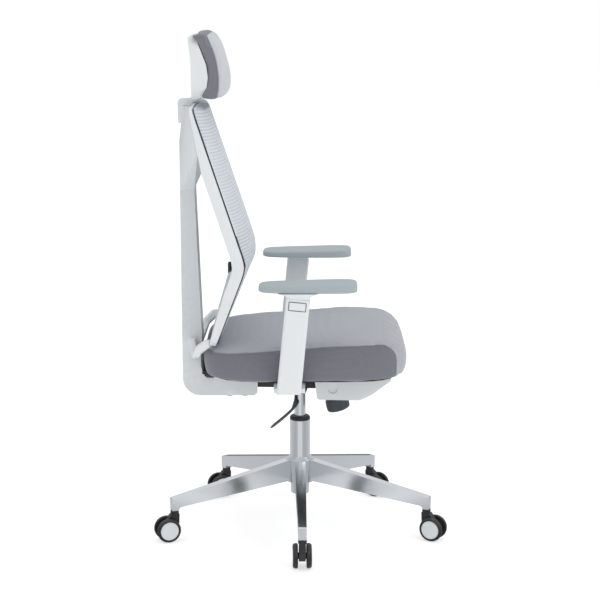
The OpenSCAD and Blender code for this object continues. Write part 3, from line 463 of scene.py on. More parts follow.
# The headrest's seam follows its front: a parabola in height, the same right across
HEAD_SEAM_Y = 0.192
HEAD_SEAM_Z = 1.138
HEAD_SEAM_BEND = 2.25


def head_seam_depth(z):
    """Depth of the headrest's seam: 0.192 + 2.25 (z - 1.138)^2."""
    return HEAD_SEAM_Y + HEAD_SEAM_BEND * (z - HEAD_SEAM_Z) ** 2


def head_band(tree, at):
    rise = maths(tree, "POWER", maths(tree, "ABSOLUTE",
                 maths(tree, "SUBTRACT", at["Z"], HEAD_SEAM_Z)), 2.0)
    seam = maths(tree, "MULTIPLY_ADD", rise, HEAD_SEAM_BEND, HEAD_SEAM_Y)
    return maths(tree, "SUBTRACT", seam, at["Y"])


RIB_PITCH = 0.0076


def mesh_cloth():
    """Ribbed knit: rows a few millimetres apart that follow the height, with open
    stitches between them."""
    finish = Finish("back_knit", 0.7, specular=0.3)
    finish.shader.inputs["Sheen Weight"].default_value = 0.15
    at = axes_of(finish.tree, finish.at)
    row_height = finish.tree.nodes.new("ShaderNodeAttribute")
    row_height.attribute_name = "row_height"
    row = maths(finish.tree, "SINE", maths(finish.tree, "MULTIPLY", row_height.outputs["Fac"],
                                           2 * math.pi / RIB_PITCH))
    stitch = maths(finish.tree, "SINE", maths(finish.tree, "MULTIPLY", at["X"],
                                              2 * math.pi / 0.0032))
    rib = maths(finish.tree, "MULTIPLY_ADD", row, 0.5, 0.5)
    sharp = maths(finish.tree, "POWER", rib, 0.45)
    threads = finish.use(weave, Pitch=0.0011)
    tone = mix_colour(finish.tree, sharp, (0.59, 0.64, 0.68), (0.67, 0.72, 0.765))
    tone = mix_colour(finish.tree, maths(finish.tree, "MULTIPLY", threads["Melange"], 0.25),
                      tone, (0.84, 0.88, 0.92))
    finish.set("Base Color", tone)
    hole = maths(finish.tree, "MULTIPLY", maths(finish.tree, "MULTIPLY_ADD", stitch, 0.5, 0.5),
                 maths(finish.tree, "SUBTRACT", 1.0, rib))
    finish.set("Alpha", maths(finish.tree, "SUBTRACT", 1.0,
                              maths(finish.tree, "MULTIPLY", hole, 0.3)))
    height = maths(finish.tree, "ADD", rib, maths(finish.tree, "MULTIPLY", stitch, 0.15))
    finish.bump(height, 0.0005, 0.3)
    return finish.material


white = plastic("white_nylon", (0.80, 0.83, 0.84), 0.34, wear=0.25, drift=0.015, dusty=0.05)
# The spine's nylon is a darker copy of the white nylon above: painted shade standing in for the
# shade that falls on the spine, not a colour of its own.
painted_shade_white = plastic("white_spine_painted_shade", (0.74, 0.77, 0.78), 0.40, wear=0.25, drift=0.02, dusty=0.05)
black = plastic("black_nylon", (0.018, 0.019, 0.022), 0.42, wear=0.5, worn=(0.07, 0.07, 0.075),
                dusty=0.16)
tread = plastic("castor_tread", (0.012, 0.012, 0.014), 0.5, wear=0.6, worn=(0.06, 0.06, 0.06),
                grain=500.0, depth=0.0001, dusty=0.22)
disc = plastic("castor_disc", (0.70, 0.73, 0.75), 0.3, wear=0.3, dusty=0.08)
slate = plastic("slate_nylon", (0.050, 0.058, 0.068), 0.45, wear=0.4, worn=(0.14, 0.15, 0.16))
pad_skin = plastic("arm_pad_skin", (0.40, 0.46, 0.48), 0.62, wear=0.35, worn=(0.50, 0.55, 0.57),
                   grain=1500.0, depth=0.00012, dusty=0.12)
powder = plastic("powder_coat", (0.020, 0.021, 0.024), 0.5, wear=0.7, worn=(0.10, 0.10, 0.11),
                 grain=1400.0, depth=0.0001)
chrome = metal("polished_chrome", (0.80, 0.83, 0.86), 0.15)
steel = metal("zinc_steel", (0.55, 0.55, 0.57), 0.28, marks=0.2, depth=0.00005)
seat_cloth = two_tone_cloth("seat_cloth", (0.180, 0.186, 0.212), (0.410, 0.425, 0.460), seat_band)
head_cloth = two_tone_cloth("head_cloth", (0.205, 0.211, 0.238), (0.58, 0.60, 0.63), head_band)
knit = mesh_cloth()
seat_welt = welt_cloth("seat_welt", (0.30, 0.30, 0.33))
head_welt = welt_cloth("head_welt", (0.34, 0.34, 0.38))


# ---- meshes ---------------------------------------------------------------------

def finish_mesh(name, mesh, material, angle=None):
    """Merges doubles, points faces outwards, shades smooth and links the object."""
    work = bmesh.new()
    work.from_mesh(mesh)
    bmesh.ops.remove_doubles(work, verts=work.verts, dist=1e-6)
    bmesh.ops.recalc_face_normals(work, faces=work.faces)
    for face in work.faces:
        face.smooth = True
    if angle:
        for edge in work.edges:
            if edge.is_manifold and edge.calc_face_angle() > math.radians(angle):
                edge.smooth = False
    work.to_mesh(mesh)
    work.free()
    mesh.materials.append(material)
    piece = bpy.data.objects.new(name, mesh)
    bpy.context.scene.collection.objects.link(piece)
    return piece


def grid_piece(name, points, material, closed=True, capped=True, angle=None):
    """A surface through points[row, column]; closed joins the last column to the first,
    capped fills the first and the last row."""
    points = np.asarray(points, float)
    rows, columns = points.shape[:2]
    index = np.arange(rows * columns).reshape(rows, columns)
    nxt = np.roll(index, -1, 1) if closed else index[:, 1:]
    here = index if closed else index[:, :-1]
    quads = np.stack([here[:-1], nxt[:-1], nxt[1:], here[1:]], -1).reshape(-1, 4)
    faces = quads.tolist()
    if capped:
        faces += [index[0].tolist(), index[-1].tolist()]
    mesh = bpy.data.meshes.new(name)
    mesh.from_pydata(points.reshape(-1, 3).tolist(), [], faces)
    return finish_mesh(name, mesh, material, angle)


def placed(piece, body, slot, *nodes):
    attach(piece, body)
    if nodes:
        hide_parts(*nodes)
    return piece


def basis(axis):
    """Two unit vectors across an axis, and the axis."""
    axis = np.asarray(axis, float) / np.linalg.norm(axis)
    side = np.cross(axis, (0, 0, 1) if abs(axis[2]) < 0.9 else (1, 0, 0))
    side /= np.linalg.norm(side)
    return side, np.cross(axis, side), axis


def revolved(name, profile, at, axis, material, sides=64, angle=40, ripple=None):
    """Profile [radius, height] turned about an axis: at + r(t, h) (cos t, sin t) + h axis.
    ripple(t, row) scales the radius."""
    a, b, n = basis(axis)
    profile = np.asarray(profile, float)
    t = np.linspace(0, 2 * math.pi, sides, endpoint=False)
    radius = np.repeat(profile[:, :1], sides, 1)
    if ripple:
        radius = radius * ripple(t[None], np.arange(len(profile))[:, None])
    points = (np.asarray(at, float) + radius[..., None] * (np.cos(t)[:, None] * a
              + np.sin(t)[:, None] * b) + profile[:, 1][:, None, None] * n)
    return grid_piece(name, points, material, capped=False, angle=angle)


def smooth_path(points, count):
    """A Catmull-Rom curve through points, sampled evenly in its parameter."""
    p = np.asarray(points, float)
    p = np.vstack([2 * p[0] - p[1], p, 2 * p[-1] - p[-2]])
    s = np.linspace(0, len(p) - 3 - 1e-9, count)
    i = s.astype(int)
    f = (s - i)[:, None]
    a, b, c, d = (p[i + k] for k in range(4))
    return 0.5 * (2 * b + (c - a) * f + (2 * a - 5 * b + 4 * c - d) * f ** 2
                  + (3 * b - a - 3 * c + d) * f ** 3)


def swept(name, path, widths, heights, up, material, sides=20, power=2.0, closed=False):
    """A superellipse section carried along a path: path + w |cos|^(2/n) side + h |sin|^(2/n) up."""
    path = np.asarray(path, float)
    along = np.roll(path, -1, 0) - np.roll(path, 1, 0) if closed else np.gradient(path, axis=0)
    along /= np.linalg.norm(along, axis=1)[:, None]
    up = np.broadcast_to(np.asarray(up, float), path.shape)
    side = np.cross(along, up)
    side /= np.linalg.norm(side, axis=1)[:, None]
    rise = np.cross(side, along)
    t = np.linspace(0, 2 * math.pi, sides, endpoint=False)
    c = np.sign(np.cos(t)) * np.abs(np.cos(t)) ** (2 / power)
    s = np.sign(np.sin(t)) * np.abs(np.sin(t)) ** (2 / power)
    w = np.broadcast_to(widths, len(path))[:, None, None]
    h = np.broadcast_to(heights, len(path))[:, None, None]
    points = path[:, None] + w * c[:, None] * side[:, None] + h * s[:, None] * rise[:, None]
    if closed:
        points = np.concatenate([points, points[:1]])
    return grid_piece(name, points, material, capped=not closed)


def softened(node, name, width, material, body, slot, segments=3, angle=32):
    """A CAD node's own shape with its edges rounded."""
    source = frame["nodes"][node].data
    mesh = source.copy()
    mesh.name = name
    mesh.materials.clear()
    work = bmesh.new()
    work.from_mesh(mesh)
    bmesh.ops.remove_doubles(work, verts=work.verts, dist=2e-6)
    bmesh.ops.dissolve_limit(work, angle_limit=math.radians(1.0), verts=work.verts,
                             edges=work.edges)
    for face in work.faces:
        face.smooth = True
    work.to_mesh(mesh)
    work.free()
    mesh.materials.append(material)
    for layer in list(mesh.attributes):
        if layer.name.startswith("custom_normal"):
            mesh.attributes.remove(layer)
    piece = bpy.data.objects.new(name, mesh)
    bpy.context.scene.collection.objects.link(piece)
    bevel = piece.modifiers.new("rounding", "BEVEL")
    bevel.width = width
    bevel.segments = segments
    bevel.limit_method = "ANGLE"
    bevel.angle_limit = math.radians(angle)
    bevel.use_clamp_overlap = True
    bevel.harden_normals = True
    return placed(piece, body, slot, node)


# ---- base, column and castors -----------------------------------------------------

softened("star_base", "cast_star_base", 2.6 * MM, chrome, "base", "chrome")
softened("column_tube", "column_sleeve", 0.6 * MM, chrome, "base", "chrome", 2)
softened("column_collar", "column_cap_ring", 0.8 * MM, black, "base", "black_plastic", 2)
softened("gas_cylinder", "gas_spring", 0.6 * MM, chrome, "lift", "chrome", 2)


def joint_line(name, *keys):
    """A joint's values under keys, such as its place and its axis, as arrays."""
    joint = next(j for j in frame["joints"] if j["name"] == name)
    return [np.array(joint[key]) for key in keys]


def castor_wheel(i, letter):
    """One wheel: tread with a crowned face and a groove, recessed rim, pale domed disc."""
    centre, axis = joint_line(f"castor_{i}_roll_a", "pos_m", "axis")
    side = 1 if letter == "a" else -1
    inner, width, radius = 10.5 * MM, 12 * MM, 30 * MM
    hub = 3.2 * MM
    shoulder = [(hub, 0), (21 * MM, 0), (21.6 * MM, 0.9 * MM), (25.4 * MM, 0.9 * MM),
                (26 * MM, 0), (radius - 1.6 * MM, 0), (radius - 0.5 * MM, 0.6 * MM)]
    crown = [(radius - 0.6 * MM * (2 * s - 1) ** 4, (1.2 + 6.8 * s) * MM)
             for s in np.linspace(0, 1, 7)]
    face = [(radius - 1.3 * MM, 9.8 * MM), (radius - 2.6 * MM, 11.4 * MM),
            (radius - 3.6 * MM, width), (24.2 * MM, width), (23.5 * MM, width - 0.7 * MM),
            (23.3 * MM, width - 2.4 * MM), (hub, width - 2.4 * MM)]
    profile = np.array(shoulder + crown + face + shoulder[:1])
    wheel = revolved(f"castor_{i}_tread_{letter}", profile, centre + side * inner * axis,
                     side * axis, tread, 72)
    body = f"castor_{i}_wheel_{letter}"
    placed(wheel, body, "castor_black", body)
    brim = 22.9 * MM
    dome = [(brim * math.cos(a), width - 1.3 * MM + 1.9 * MM * math.sin(a))
            for a in np.linspace(0, math.pi / 2, 9)]
    under = [(0, width - 2.3 * MM), (brim, width - 2.3 * MM)]
    cap = revolved(f"castor_{i}_disc_{letter}", under + dome[:-1] + [(0, dome[-1][1])],
                   centre + side * inner * axis, side * axis, disc, 64)
    placed(cap, body, "castor_black")


for i in range(1, 6):
    softened(f"castor_{i}_fork", f"castor_{i}_body", 1.4 * MM, black, f"castor_{i}",
             "castor_black")
    for letter in "ab":
        castor_wheel(i, letter)


# ---- mechanism ---------------------------------------------------------------------

softened("mechanism_pan", "tilt_pan", 1.0 * MM, powder, "lift", "black_steel", 2)
softened("front_cover", "front_shroud", 2.4 * MM, white, "lift", "white_plastic")
softened("rear_cover", "rear_shroud", 2.2 * MM, white, "back", "white_plastic")
softened("seat_plate", "seat_bracket", 0.9 * MM, powder, "seat", "black_steel", 2)
softened("recline_bracket", "recline_arms", 0.9 * MM, powder, "back", "black_steel", 2)


def tension_knob():
    """Round knob with finger flutes: its radius is scaled by 1 - 0.035 (1 + cos 14 t) / 2
    on the rows between its rims."""
    at, axis = joint_line("tension_turn", "pos_m", "axis")
    profile = np.array([(0, 0), (14, 0), (23, 0.2), (27.5, 2.2), (29.6, 6), (29.9, 12),
                        (29.6, 20), (29.0, 27), (26.5, 31.5), (22.3, 33.6), (12, 34),
                        (5, 34), (5, 99), (0, 100)]) * MM
    flute = np.zeros(len(profile))
    flute[4:8] = 0.035
    knob = revolved("tension_handwheel", profile, at, axis, slate, 112, 50,
                    lambda t, row: 1 - flute[row] * (1 + np.cos(14 * t)) / 2)
    return placed(knob, "tension_knob", "slate_plastic", "tension_knob")


def lever():
    """Bent rod that flattens into a paddle: an ellipse carried along a curve, its two
    radii following the length.  Its inner finger is slimmer, to stay off the gas spring."""
    pivot, = joint_line("lever_lift", "pos_m")
    offsets = np.array([(44, -4, 5), (20, -2, 3), (0, 0, 0), (-14, 3, -10), (-28, 5, -26),
                        (-42, 6, -40), (-70, 9, -50), (-110, 28, -60), (-150, 48, -67),
                        (-186, 66, -72)]) * MM
    path = smooth_path(pivot + offsets, 90)
    s = np.linspace(0, 1, 90)
    blade = np.clip((s - 0.52) / 0.16, 0, 1)
    blade = blade * blade * (3 - 2 * blade)
    end = np.sqrt(np.clip(1 - np.clip((s - 0.93) / 0.07, 0, 1) ** 2, 0.02, 1))
    finger = 0.78 + 0.22 * np.clip(s / 0.22, 0, 1)
    wide = (4.2 + blade * (12.5 - 9 * np.clip((s - 0.6) / 0.4, 0, 1))) * end * finger * MM
    thick = (4.2 - blade * 0.8) * end * finger * MM
    piece = swept("height_handle", path, wide, thick, (0.225, 0.688, 0.69), slate, 24, 2.4)
    return placed(piece, "height_lever", "slate_plastic", "height_lever")


tension_knob()
lever()


# ---- soft pieces ---------------------------------------------------------------------

def superellipse(t, a, b, power):
    """a, b half widths; |x/a|^n + |y/b|^n = 1 at angle t."""
    c, s = np.cos(t), np.sin(t)
    k = (np.abs(c) ** power + np.abs(s) ** power) ** (-1 / power)
    return a * c * k, b * s * k


def cloth_puff(piece, voxel, cap, pressure=4.0, frames=20):
    """Remeshes a closed form and lets cloth under pressure swell it, moving no point by
    more than cap."""
    remesh = piece.modifiers.new("remesh", "REMESH")
    remesh.mode = "VOXEL"
    remesh.voxel_size = voxel
    apply_modifiers(piece)
    rest = vertex_array(piece)
    cloth = piece.modifiers.new("cloth", "CLOTH")
    settings = cloth.settings
    settings.use_pressure = True
    settings.uniform_pressure_force = pressure
    settings.effector_weights.gravity = 0
    settings.tension_stiffness = 25
    settings.compression_stiffness = 25
    settings.bending_stiffness = 2
    cloth.point_cache.frame_start = 1
    cloth.point_cache.frame_end = frames
    scene = bpy.context.scene
    for number in range(1, frames + 1):
        scene.frame_set(number)
    apply_modifiers(piece)
    scene.frame_set(1)
    moved = vertex_array(piece) - rest
    length = np.linalg.norm(moved, axis=1)
    moved *= np.minimum(1, cap / np.maximum(length, 1e-9))[:, None]
    write_vertices(piece, rest + moved)


def vertex_array(piece):
    points = np.empty(len(piece.data.vertices) * 3)
    piece.data.vertices.foreach_get("co", points)
    return points.reshape(-1, 3)


def write_vertices(piece, points):
    piece.data.vertices.foreach_set("co", points.astype(np.float32).ravel())
    piece.data.update()


def apply_modifiers(piece):
    view = bpy.context.evaluated_depsgraph_get()
    mesh = bpy.data.meshes.new_from_object(piece.evaluated_get(view))
    material = piece.data.materials[0]
    piece.modifiers.clear()
    piece.data = mesh
    if not mesh.materials:
        mesh.materials.append(material)
    mesh.polygons.foreach_set("use_smooth", np.ones(len(mesh.polygons), bool))


def subdivided(piece, levels=1):
    fine = piece.modifiers.new("smooth", "SUBSURF")
    fine.levels = fine.render_levels = levels
    apply_modifiers(piece)


def normals_of(piece):
    out = np.empty(len(piece.data.vertices) * 3, np.float32)
    piece.data.vertices.foreach_get("normal", out)
    return out.reshape(-1, 3)


def sunk(piece, amount):
    """Moves each point in along its normal by amount (an array, in metres)."""
    write_vertices(piece, vertex_array(piece) - normals_of(piece) * amount[:, None])


seat_low, seat_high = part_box("seat_cushion")
SEAT_MID_Y = (seat_low.y + seat_high.y) / 2
SEAT_A = (seat_high.x - seat_low.x) / 2
SEAT_B = (seat_high.y - seat_low.y) / 2


def rim_droop(x, y):
    """How far the cushion's rim hangs round the shell's edge; not over its rear lip."""
    beside = np.clip((np.abs(x) - 0.136) / 0.010, 0, 1)
    ahead = np.clip((0.196 - y) / 0.010, 0, 1)
    return 7 * MM * np.maximum(beside, ahead)


def cushion_form(inset):
    """Closed cushion: rings of a superellipse from the middle of the underside, out to
    the side band and over the crowned top.  The top follows the seam and rises 9 mm to
    the middle, and the front rolls over in an arc of 62 mm."""
    t = np.linspace(0, 2 * math.pi, 180, endpoint=False)
    low = seat_low.z + inset
    below = []
    for s in np.linspace(0.06, 1, 12):
        x, y = superellipse(t, (SEAT_A - 27 * MM) * s, (SEAT_B - 21 * MM) * s, 5)
        below.append((x, y + SEAT_MID_Y, np.full_like(t, low)))
    for k in (22.5 * MM, 9 * MM):
        x, y = superellipse(t, SEAT_A - k - inset, SEAT_B - k * 0.8 - inset, 4.8)
        below.append((x, y + SEAT_MID_Y, low - rim_droop(x, y + SEAT_MID_Y)))
    side = []
    for s in np.linspace(0, 1, 14):
        bulge = 4 * MM * math.sin(math.pi * s) - 2 * MM * (1 - min(1, s / 0.12)) ** 2
        x, y = superellipse(t, SEAT_A - 6 * MM - inset + bulge, SEAT_B - 6 * MM - inset + bulge,
                            4.8)
        y = y + SEAT_MID_Y
        top = seat_seam_height(y)
        foot = low + 1 * MM - rim_droop(x, y)
        side.append((x, y, foot + (top - inset - foot) * s))
    over = []
    for s in np.linspace(0.97, 0.05, 26):
        x, y = superellipse(t, (SEAT_A - 6 * MM - inset) * s, (SEAT_B - 6 * MM - inset) * s,
                            2 + 2.8 * s)
        y = y + SEAT_MID_Y
        crown = (9 * MM) * (1 - s ** 4) ** 0.6
        over.append((x, y, seat_seam_height(y) - inset + crown))
    points = np.array([np.stack(row, -1) for row in below + side + over])
    # the front rolls down: an arc of radius 62 mm from the top plane to the front face
    radius = 62 * MM
    start = seat_low.y + radius
    forward = np.clip((start - points[..., 1]) / radius, 0, 1)
    drop = radius * (1 - np.sqrt(1 - (forward * 0.97) ** 2)) * 0.72
    above = np.clip((points[..., 2] - low) / (SEAT_SEAM - low), 0, 1)
    points[..., 2] -= drop * above
    return points


def seat_cushion():
    piece = grid_piece("seat_cushion_cover", cushion_form(3 * MM), seat_cloth)
    cloth_puff(piece, 6 * MM, 7 * MM)
    subdivided(piece)
    points = vertex_array(piece)
    up = points[:, 2] - seat_seam_height(points[:, 1]) + SEAT_CORNER
    forward = SEAT_FRONT_SEAM - points[:, 1] + SEAT_CORNER
    outside = np.hypot(np.maximum(up, 0), np.maximum(forward, 0))
    far = outside + np.minimum(np.maximum(up, forward), 0) - SEAT_CORNER
    side = np.abs(points[:, 0]) > SEAT_A * 0.5
    rear = points[:, 1] > SEAT_MID_Y + SEAT_B * 0.8
    sunk(piece, 1.8 * MM * np.exp(-(far / (4 * MM)) ** 2) * (side | rear))
    # it fills its width and depth, and nothing but the rim hangs below the shell's floor
    points = vertex_array(piece)
    low, high = points.min(0), points.max(0)
    half = np.array([SEAT_A, SEAT_B]) - 0.5 * MM
    points[:, :2] = (points[:, :2] - (low + high)[:2] / 2) * half / ((high - low)[:2] / 2)
    points[:, 1] += SEAT_MID_Y
    rim = (np.abs(points[:, 0]) > SEAT_A - 26 * MM) | (np.abs(points[:, 1] - SEAT_MID_Y)
                                                      > SEAT_B - 20.5 * MM)
    floor = seat_low.z + 0.2 * MM - rim_droop(points[:, 0], points[:, 1]) * rim
    points[:, 2] = np.maximum(points[:, 2], floor)
    write_vertices(piece, points)
    return placed(piece, "seat", "seat_fabric", "seat_cushion")


def welt(name, cushion, rays, radius, material, body, slot):
    """A cord of piping where rays (start, direction) meet a cushion."""
    tree = BVHTree.FromPolygons([v.co for v in cushion.data.vertices],
                                [p.vertices for p in cushion.data.polygons])
    hits = [tree.ray_cast(Vector(start), Vector(way)) for start, way in rays]
    path = np.array([hit[0] for hit in hits if hit[0]])
    out = np.array([hit[1] for hit in hits if hit[0]])
    kernel = np.array([1, 2, 3, 4, 3, 2, 1]) / 16
    long_path = np.pad(path, ((3, 3), (0, 0)), mode="edge")
    long_out = np.pad(out, ((3, 3), (0, 0)), mode="edge")
    path = np.stack([np.convolve(long_path[:, k], kernel, "valid") for k in range(3)], 1)
    out = np.stack([np.convolve(long_out[:, k], kernel, "valid") for k in range(3)], 1)
    piece = swept(name, path + out * radius * 0.1, radius, radius, out, material, 10)
    return placed(piece, body, slot)


def seat_welts(cushion):
    """Piping up the front corner, back along the side and half round the rear."""
    for side, word in ((-1, "right"), (1, "left")):
        rise = np.linspace(0.446, SEAT_SEAM - SEAT_CORNER, 16)
        turn = np.linspace(0, math.pi / 2, 24)[1:]
        rays = [((side * 0.4, SEAT_FRONT_SEAM, z), (-side, 0, 0)) for z in rise]
        rays += [((side * 0.4, SEAT_FRONT_SEAM + SEAT_CORNER * (1 - math.cos(a)),
                   SEAT_SEAM - SEAT_CORNER * (1 - math.sin(a))), (-side, 0, 0)) for a in turn]
        start = SEAT_FRONT_SEAM + SEAT_CORNER
        for y in np.linspace(start + 4 * MM, SEAT_MID_Y + 0.12, 90):
            rays.append(((side * 0.4, y, float(seat_seam_height(y)) - MM), (-side, 0, 0)))
        for angle in np.linspace(math.atan2(0.12, SEAT_A), math.pi / 2, 90)[1:]:
            way = Vector((side * math.cos(angle), math.sin(angle), 0))
            reach = (abs(math.cos(angle) / SEAT_A) ** 4.8
                     + abs(math.sin(angle) / SEAT_B) ** 4.8) ** (-1 / 4.8)
            y = SEAT_MID_Y + reach * way.y
            at = Vector((0, SEAT_MID_Y, float(seat_seam_height(y)) - MM)) + way * 0.5
            rays.append((at, -way))
        welt(f"seat_piping_{word}", cushion, rays, 1.3 * MM, seat_welt, "seat", "seat_fabric")


seat_cover = seat_cushion()
seat_welts(seat_cover)


# ---- headrest ------------------------------------------------------------------------

HEAD_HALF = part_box("headrest_pad")[1].x


def closed_curve(points, count):
    """A closed Catmull-Rom curve through points given in millimetres."""
    p = np.asarray(points, float) * MM
    s = np.linspace(0, len(p), count, endpoint=False)
    i = s.astype(int)
    f = (s - i)[:, None]
    a, b, c, d = (p[(i + k) % len(p)] for k in (-1, 0, 1, 2))
    return 0.5 * (2 * b + (c - a) * f + (2 * a - 5 * b + 4 * c - d) * f ** 2
                  + (3 * b - a - 3 * c + d) * f ** 3)


def head_form(inset):
    """Closed pad: at each x a loop of [depth, height] that laps over the shell's top, runs
    down the front and back up against the shell; the loop bows forward from the end's
    outline to the middle's by 1 - x^2."""
    back = [(236, 1100), (224, 1120), (220, 1151), (224, 1180), (236, 1213), (247, 1238)]
    end = closed_curve([(258, 1246), (246, 1251), (229, 1252), (214, 1245), (203, 1230),
                        (195, 1211), (189, 1186), (185, 1159), (184, 1132), (187, 1112),
                        (194, 1100), (208, 1095), (224, 1095)] + back, 96)
    middle = closed_curve([(256, 1246), (243, 1250), (227, 1251), (211, 1243), (199, 1229),
                           (190, 1215), (181, 1190), (174, 1163), (171, 1138), (173, 1114),
                           (180, 1099), (196, 1092), (216, 1093)] + back, 96)
    rows = []
    for u in np.sin(np.linspace(-1, 1, 65) * math.pi / 2):
        bow = 1 - u * u
        loop = end * (1 - bow) + middle * bow
        centre = loop.mean(0)
        edge = max(0.0, (abs(u) - 0.92) / 0.08)
        pull = inset + 10 * MM * (1 - math.sqrt(max(0.0, 1 - edge ** 2)))
        away = loop - centre
        size = np.linalg.norm(away, axis=1)[:, None]
        loop = centre + away * np.maximum(0.1, 1 - pull / size)
        rows.append(np.column_stack([np.full(len(loop), u * (HEAD_HALF - inset)), loop]))
    return np.array(rows)


def headrest_pad():
    piece = grid_piece("headrest_cushion", head_form(2 * MM), head_cloth)
    cloth_puff(piece, 4 * MM, 3.5 * MM)
    subdivided(piece)
    points = vertex_array(piece)
    far = points[:, 1] - head_seam_depth(points[:, 2])
    sunk(piece, 1.3 * MM * np.exp(-(far / (3.5 * MM)) ** 2))
    return placed(piece, "headrest", "head_fabric", "headrest_pad")


def head_welts(pad):
    """Piping along the seam on both ends and over the top, laid on by rays that come in
    square to the pad's long sides."""
    rays = []
    for z in np.linspace(1.112, 1.225, 40):
        rays.append(((-0.2, float(head_seam_depth(z)), z), (1, 0, 0)))
    turn = np.linspace(0, math.pi / 2, 24)
    over = [(-0.105 - 0.08 * math.cos(a), 1.225 + 0.08 * math.sin(a),
             (math.cos(a), -math.sin(a))) for a in turn]
    top_y = float(head_seam_depth(1.25))
    rays += [((x, top_y, z), (way[0], 0, way[1])) for x, z, way in over]
    rays += [((x, top_y, 1.305), (0, 0, -1)) for x in np.linspace(-0.1, 0, 24)[1:]]
    mirror = [((-x, y, z), (-way[0], 0, way[2])) for (x, y, z), way in rays[-2::-1]]
    welt("headrest_piping", pad, rays + mirror, 1.1 * MM, head_welt, "headrest", "head_fabric")


head_pad = headrest_pad()
head_welts(head_pad)
softened("headrest_shell", "headrest_back", 4.0 * MM, white, "headrest", "white_plastic", 4)
softened("headrest_slider", "headrest_stem", 2.0 * MM, white, "headrest_slider", "white_plastic")


# ---- back -----------------------------------------------------------------------------

softened("back_frame", "back_hoop", 2.6 * MM, white, "back", "white_plastic")
# The spine takes the darker copy of the white nylon, which is painted shade.
softened("back_spine", "back_post", 5.0 * MM, painted_shade_white, "back", "white_plastic", 4)
softened("mesh_trim", "mesh_edge_strip", 0.6 * MM, slate, "back", "slate_plastic", 2)
softened("lumbar_support", "lumbar_pad", 1.2 * MM, slate, "lumbar", "slate_plastic", 2)


FRAME_FOOT, FRAME_BEND, FRAME_TOP = 0.511, 0.707, 1.080
BEND_EASE = 0.014


def frame_front(z):
    """Depth of the frame's front: a hyperbola with slopes 0.337 above the bend and -0.387
    below it."""
    d = z - FRAME_BEND
    return 0.127 - 0.025 * d + 0.362 * np.sqrt(d * d + BEND_EASE ** 2)


def frame_half(z):
    """Half width of the frame: it narrows by 8 mm to its top and by 15 mm to its foot."""
    upper = np.clip((z - FRAME_BEND) / (FRAME_TOP - FRAME_BEND), 0, 1)
    lower = np.clip((FRAME_BEND - z) / (FRAME_BEND - FRAME_FOOT), 0, 1)
    return 0.220 - 0.008 * upper - 0.015 * lower


def back_knit():
    """The knit as a sheet over the frame: it stands off the frame's front, square to it,
    by a bow that is full above the bend and fades below it, times 1 - u^2 across.  Its
    corners are quarter circles, its ribs are 0.2 mm waves 7.6 mm apart, and its last rows
    turn back over the top to the frame."""
    inset, count, ease = 1.5 * MM, 600, 20
    top_corner, foot_corner = 26.5 * MM, 32.5 * MM
    z = np.linspace(FRAME_FOOT + inset, FRAME_TOP - inset, count)
    bow = np.interp(z, [FRAME_FOOT, 0.690, 0.750], [0.1, 0.45, 1.0]) * 26 * MM
    kernel = np.hanning(2 * ease + 1)
    bow = np.convolve(np.pad(bow, ease, mode="edge"), kernel / kernel.sum(), "valid")
    into = np.clip((z - z[-1]) / top_corner + 1, 0, 1)
    under = np.clip((z[0] - z) / foot_corner + 1, 0, 1)
    cut = top_corner * (1 - np.sqrt(1 - into ** 2)) + foot_corner * (1 - np.sqrt(1 - under ** 2))
    u = np.linspace(-1, 1, 97)
    across = 1 - u ** 2
    x = u[None] * (frame_half(z) - inset - cut)[:, None]
    y = frame_front(z)[:, None] - 4.4 * MM - bow[:, None] * across[None]
    y = y - 0.2 * MM * np.sin(2 * math.pi * z / RIB_PITCH)[:, None] * (1 - u[None] ** 12)
    d = z - FRAME_BEND
    lean = -0.025 + 0.362 * d / np.sqrt(d * d + BEND_EASE ** 2)
    points = np.stack([x, y, z[:, None] - (lean * bow)[:, None] * across[None]], -1)
    turn = np.linspace(0, 1, 9)[1:, None]
    rest_y = frame_front(z[-1]) - 3.4 * MM
    hem = np.stack([np.repeat(x[-1:], 8, 0), y[-1] + (rest_y - y[-1]) * turn,
                    points[-1, :, 2] + (z[-1] - points[-1, :, 2]) * turn], -1)
    points = np.concatenate([points, hem])
    piece = grid_piece("back_knit_panel", points, knit, closed=False, capped=False)
    rows = piece.data.attributes.new("row_height", "FLOAT", "POINT")
    height = np.repeat(np.concatenate([z, z[-1] + 3 * MM * turn[:, 0]]), len(u))
    rows.data.foreach_set("value", height.astype(np.float32))
    return placed(piece, "back", "mesh", "back_mesh")


back_knit()


# ---- arms -----------------------------------------------------------------------------

ARM_LEAN = math.radians(5.5)


